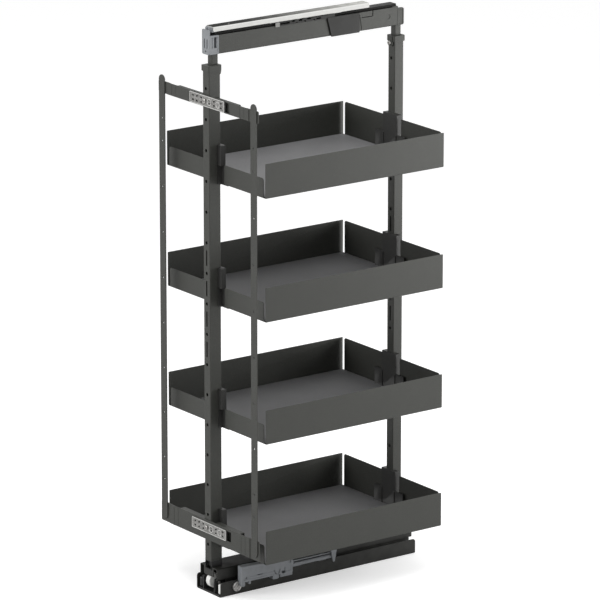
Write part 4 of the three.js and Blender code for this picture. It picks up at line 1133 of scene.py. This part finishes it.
def door_rail(name, z, depth, window_z):
    """A rail between the heights z, its flanges that deep, with a window for a plate at window_z."""
    back, flange_x = rail_front + web, around(door_middle, flange_half)
    rail = block(name, around(door_middle, web_half), (rail_front, back), z)
    parts = [
        block("back", flange_x, (back + depth - web, back + depth), z),
        block("flange", flange_x, (back - 0.1, back + depth), (z[0], z[0] + web)),
        block("flange", flange_x, (back - 0.1, back + depth), (z[1] - web, z[1]))]
    for side in (-1, 1):
        reach = sorted((door_middle + side * (web_half - 8), door_middle + side * tab_half))
        lap = block("tab", reach, (back - 0.1, back + tab), z)
        parts.append(rounded(lap, "y", 3, 4, lambda at: (at.x - door_middle) * side > web_half))
    add_on(rail, *parts)
    cutters = [
        block("window", (-52.4, 84.4), (rail_front - 1, back + 0.2), around(window_z, 10.4)),
        block("post_room", around(door_middle, 20), (back, back + depth + 1), widened(z, 1))]
    for side in (-1, 1):
        for line in (112, 126):
            line_x = sorted((door_middle + side * line, door_middle + side * (line + 0.8)))
            cutters.append(block(
                "press_line", line_x, (rail_front - 1, rail_front + 0.35), widened(z, -2.5)))
    carve(rail, *cutters)
    break_edges(rail, 0.2)
    return rail


def door_strip(name, x, y, z):
    """A strip with round ends, and holes 96 apart between two closer pairs."""
    strip = rounded(block(name, x, y, z), "y", 9.9, 10)
    for height in (86, *range(134, 807, 96), 854):
        drill = bar("drill", "y", 2, widened(y, 1), (sum(x) / 2, z[0] + height), 20)
        shape(drill)
        pick("FACE", looks("-y"))
        bpy.ops.transform.translate(value=(0, 1.2 * MM, 0))
        inset(0.01)
        bpy.ops.transform.resize(value=(1.9, 1, 1.9))
        pull(y=-2)
        done()
        carve(strip, drill)
    break_edges(strip, 0.25)
    return strip


for end, depth in (("top", 6), ("bottom", 12)):
    window_z = middles(f"adjusting_plate_{end}")[2]
    rail = door_rail(f"door_rail_{end}_steel", places(f"door_rail_{end}")[2], depth, window_z)
    fit(rail, anthracite, "anthracite", "door_frame", f"door_rail_{end}")
for side in ("far", "near"):
    strip = door_strip(f"door_strip_{side}_steel", *places(f"door_strip_{side}"))
    fit(strip, anthracite, "anthracite", "door_frame", f"door_strip_{side}")


# ---------------------------------------------------------------- adjusting plates and screws
# A zinc plated plate rides in the window of each door rail, held to the post by one screw. It
# is punched with pairs of slots, and eccentric discs on it set the door's height and tilt.

def adjusting_plate(name, x, y, z):
    """A stepped plate: its body in the rail's window, its face over the window's edges."""
    face_back, middle_z = y[0] + 1.5, sum(z) / 2
    plate = block(name, x, (y[0], face_back), z)
    panel(rounded(plate, "y", 1.6, 3), "-y", 1.2, 0.2, -0.7)
    add_on(plate, block("body", x, (face_back - 0.1, y[1]), around(middle_z, 10)))
    for disc_x in (16, 46):
        disc = bar("disc", "y", 6.8, (y[0] + 0.06, y[0] + 1.1), (disc_x, middle_z), 40)
        add_on(plate, panel(disc, "-y", 1.1, 0.2, -0.6))
    cutters = [bar("screw_hole", "y", 2.7, widened(y, 1), (0, middle_z), 24)]
    # Pairs of slots: the place of a pair on x, and how far each slot is above or below the middle.
    for slot_x, rise in ((-41, 4.4), (-27.5, 4.8), (-12.5, 4.6), (16, 2.9), (32, 4), (56.5, 4.6)):
        for slot_z, inner_side in ((middle_z + rise, "-z"), (middle_z - rise, "+z")):
            slot = block("slot", around(slot_x, 3.8), (y[0] - 1, y[0] + 4.4), around(slot_z, 1.9))
            cutters.append(taper(slot, inner_side, (0.45, 1, 1)))
    carve(plate, *cutters)
    break_edges(plate, 0.12)
    return plate


def zinc_with_painted_highlight(front_y):
    """Zinc plate on a pressing: the rims that stand forward carry a painted highlight, the sunk faces stay
    dull.
    """
    finish = Finish("punched zinc")
    # Painted highlight: faces within half a millimetre of the plate's front are coloured bright.
    painted_rim_highlight = finish.spread(finish.coordinate("Y"), (front_y + 0.5) * MM, (front_y + 0.25) * MM)
    cloud = finish.spread(finish.noise(4, 4, 0.6), 0.35, 0.65)
    dull = finish.blend(cloud, (0.16, 0.157, 0.15), (0.30, 0.297, 0.285))
    rolled = finish.noise(1.2, 2, 0.5, (0.08, 1, 1))
    return finish.give(
        Base_Color=finish.blend(painted_rim_highlight, dull, (0.60, 0.595, 0.58)), Metallic=0.4,
        Roughness=0.34 + cloud * 0.14, Normal=finish.bump(rolled, 0.015, 0.5))


plate_finish = zinc_with_painted_highlight(places("adjusting_plate_top")[1][0])
for end in ("top", "bottom"):
    plate = adjusting_plate(f"adjusting_plate_{end}_zinc", *places(f"adjusting_plate_{end}"))
    fit(plate, plate_finish, "zinc", "frame", f"adjusting_plate_{end}")
    y, z = places(f"plate_screw_{end}")[1:]
    head_back, middle_z = y[0] + 2.6, sum(z) / 2
    screw = bar(f"plate_screw_{end}_zinc", "y", 5, (y[0], head_back), (0, middle_z), 40)
    rounded(screw, "y", 1.4, 5, lambda at: at.y < y[0] + 0.1, across=True)
    for half_x, half_z in ((3.2, 0.6), (0.6, 3.2)):
        carve(screw, block("cross", (-half_x, half_x), (y[0] - 1, y[0] + 1.4), around(middle_z, half_z)))
    add_on(screw, bar("shank", "y", 2.5, (head_back - 0.4, y[1]), (0, middle_z), 24))
    break_edges(screw, 0.12)
    fit(screw, zinc, "zinc", "frame", f"plate_screw_{end}")


# ---------------------------------------------------------------- studio
# A pale floor and a pale surround, soft lamps, and the camera of the photograph.

def studio_white():
    """A pale floor that keeps the unit's shadow, lifted to white where the camera sees it."""
    finish = Finish("studio floor")
    seen = finish.node("ShaderNodeLightPath", {}, {}, "Is Camera Ray")
    glow = finish.blend(seen, (0, 0, 0), (0.45, 0.45, 0.45))
    return finish.give(
        Base_Color=(0.82, 0.82, 0.82, 1), Roughness=0.9, Emission_Color=glow, Emission_Strength=1.0)


bpy.ops.mesh.primitive_plane_add(size=30)
floor = named("studio_floor")
floor.data.materials.append(studio_white())

light_given, light_seen = 0.59, 1.0
world = bpy.data.worlds.new("studio")
bpy.context.scene.world = world
world.use_nodes = True
sky = world.node_tree
seen = sky.nodes.new("ShaderNodeLightPath")
either = sky.nodes.new("ShaderNodeMath")
either.operation = "MAXIMUM"
sky.links.new(seen.outputs["Is Camera Ray"], either.inputs[0])
sky.links.new(seen.outputs["Is Glossy Ray"], either.inputs[1])
level = sky.nodes.new("ShaderNodeMix")
level.inputs["A"].default_value = light_given
level.inputs["B"].default_value = light_seen
sky.links.new(either.outputs[0], level.inputs["Factor"])
backdrop = sky.nodes["Background"]
backdrop.inputs["Color"].default_value = (1, 1, 1, 1)
sky.links.new(level.outputs["Result"], backdrop.inputs["Strength"])


def soft_lamp(name, place, target, size, power):
    """A square soft box that faces a place on the unit."""
    lamp = bpy.data.lights.new(name, "AREA")
    lamp.size, lamp.energy = size, power
    holder = bpy.data.objects.new(name, lamp)
    bpy.context.scene.collection.objects.link(holder)
    holder.location = place
    holder.rotation_euler = (Vector(target) - Vector(place)).to_track_quat("-Z", "Y").to_euler()


soft_lamp("lamp_front", (-1.2, -3.2, 1.6), (0, 0, 0.6), 1.8, 47)
soft_lamp("lamp_above", (0.6, -0.6, 3.6), (0, 0, 0.6), 2.2, 50)
soft_lamp("lamp_side", (1.0, 1.35, 0.75), (0, 0.1, 0.6), 0.9, 17)

camera_place = (8.4886, -6.1765, 3.5135)
azimuth, elevation = math.radians(54.04), math.radians(15.59)
sensor_width, focal_pixels, picture_width = 36, 5304.3, 600
view = bpy.data.cameras.new("camera")
view.sensor_width = sensor_width
view.lens = focal_pixels / picture_width * sensor_width
view.clip_end = 100
camera = bpy.data.objects.new("camera", view)
bpy.context.scene.collection.objects.link(camera)
camera.location = camera_place
ahead = Vector((
    -math.sin(azimuth) * math.cos(elevation), math.cos(azimuth) * math.cos(elevation),
    -math.sin(elevation)))
camera.rotation_euler = ahead.to_track_quat("-Z", "Y").to_euler()
bpy.context.scene.camera = camera
bpy.context.scene.view_settings.view_transform = "Standard"
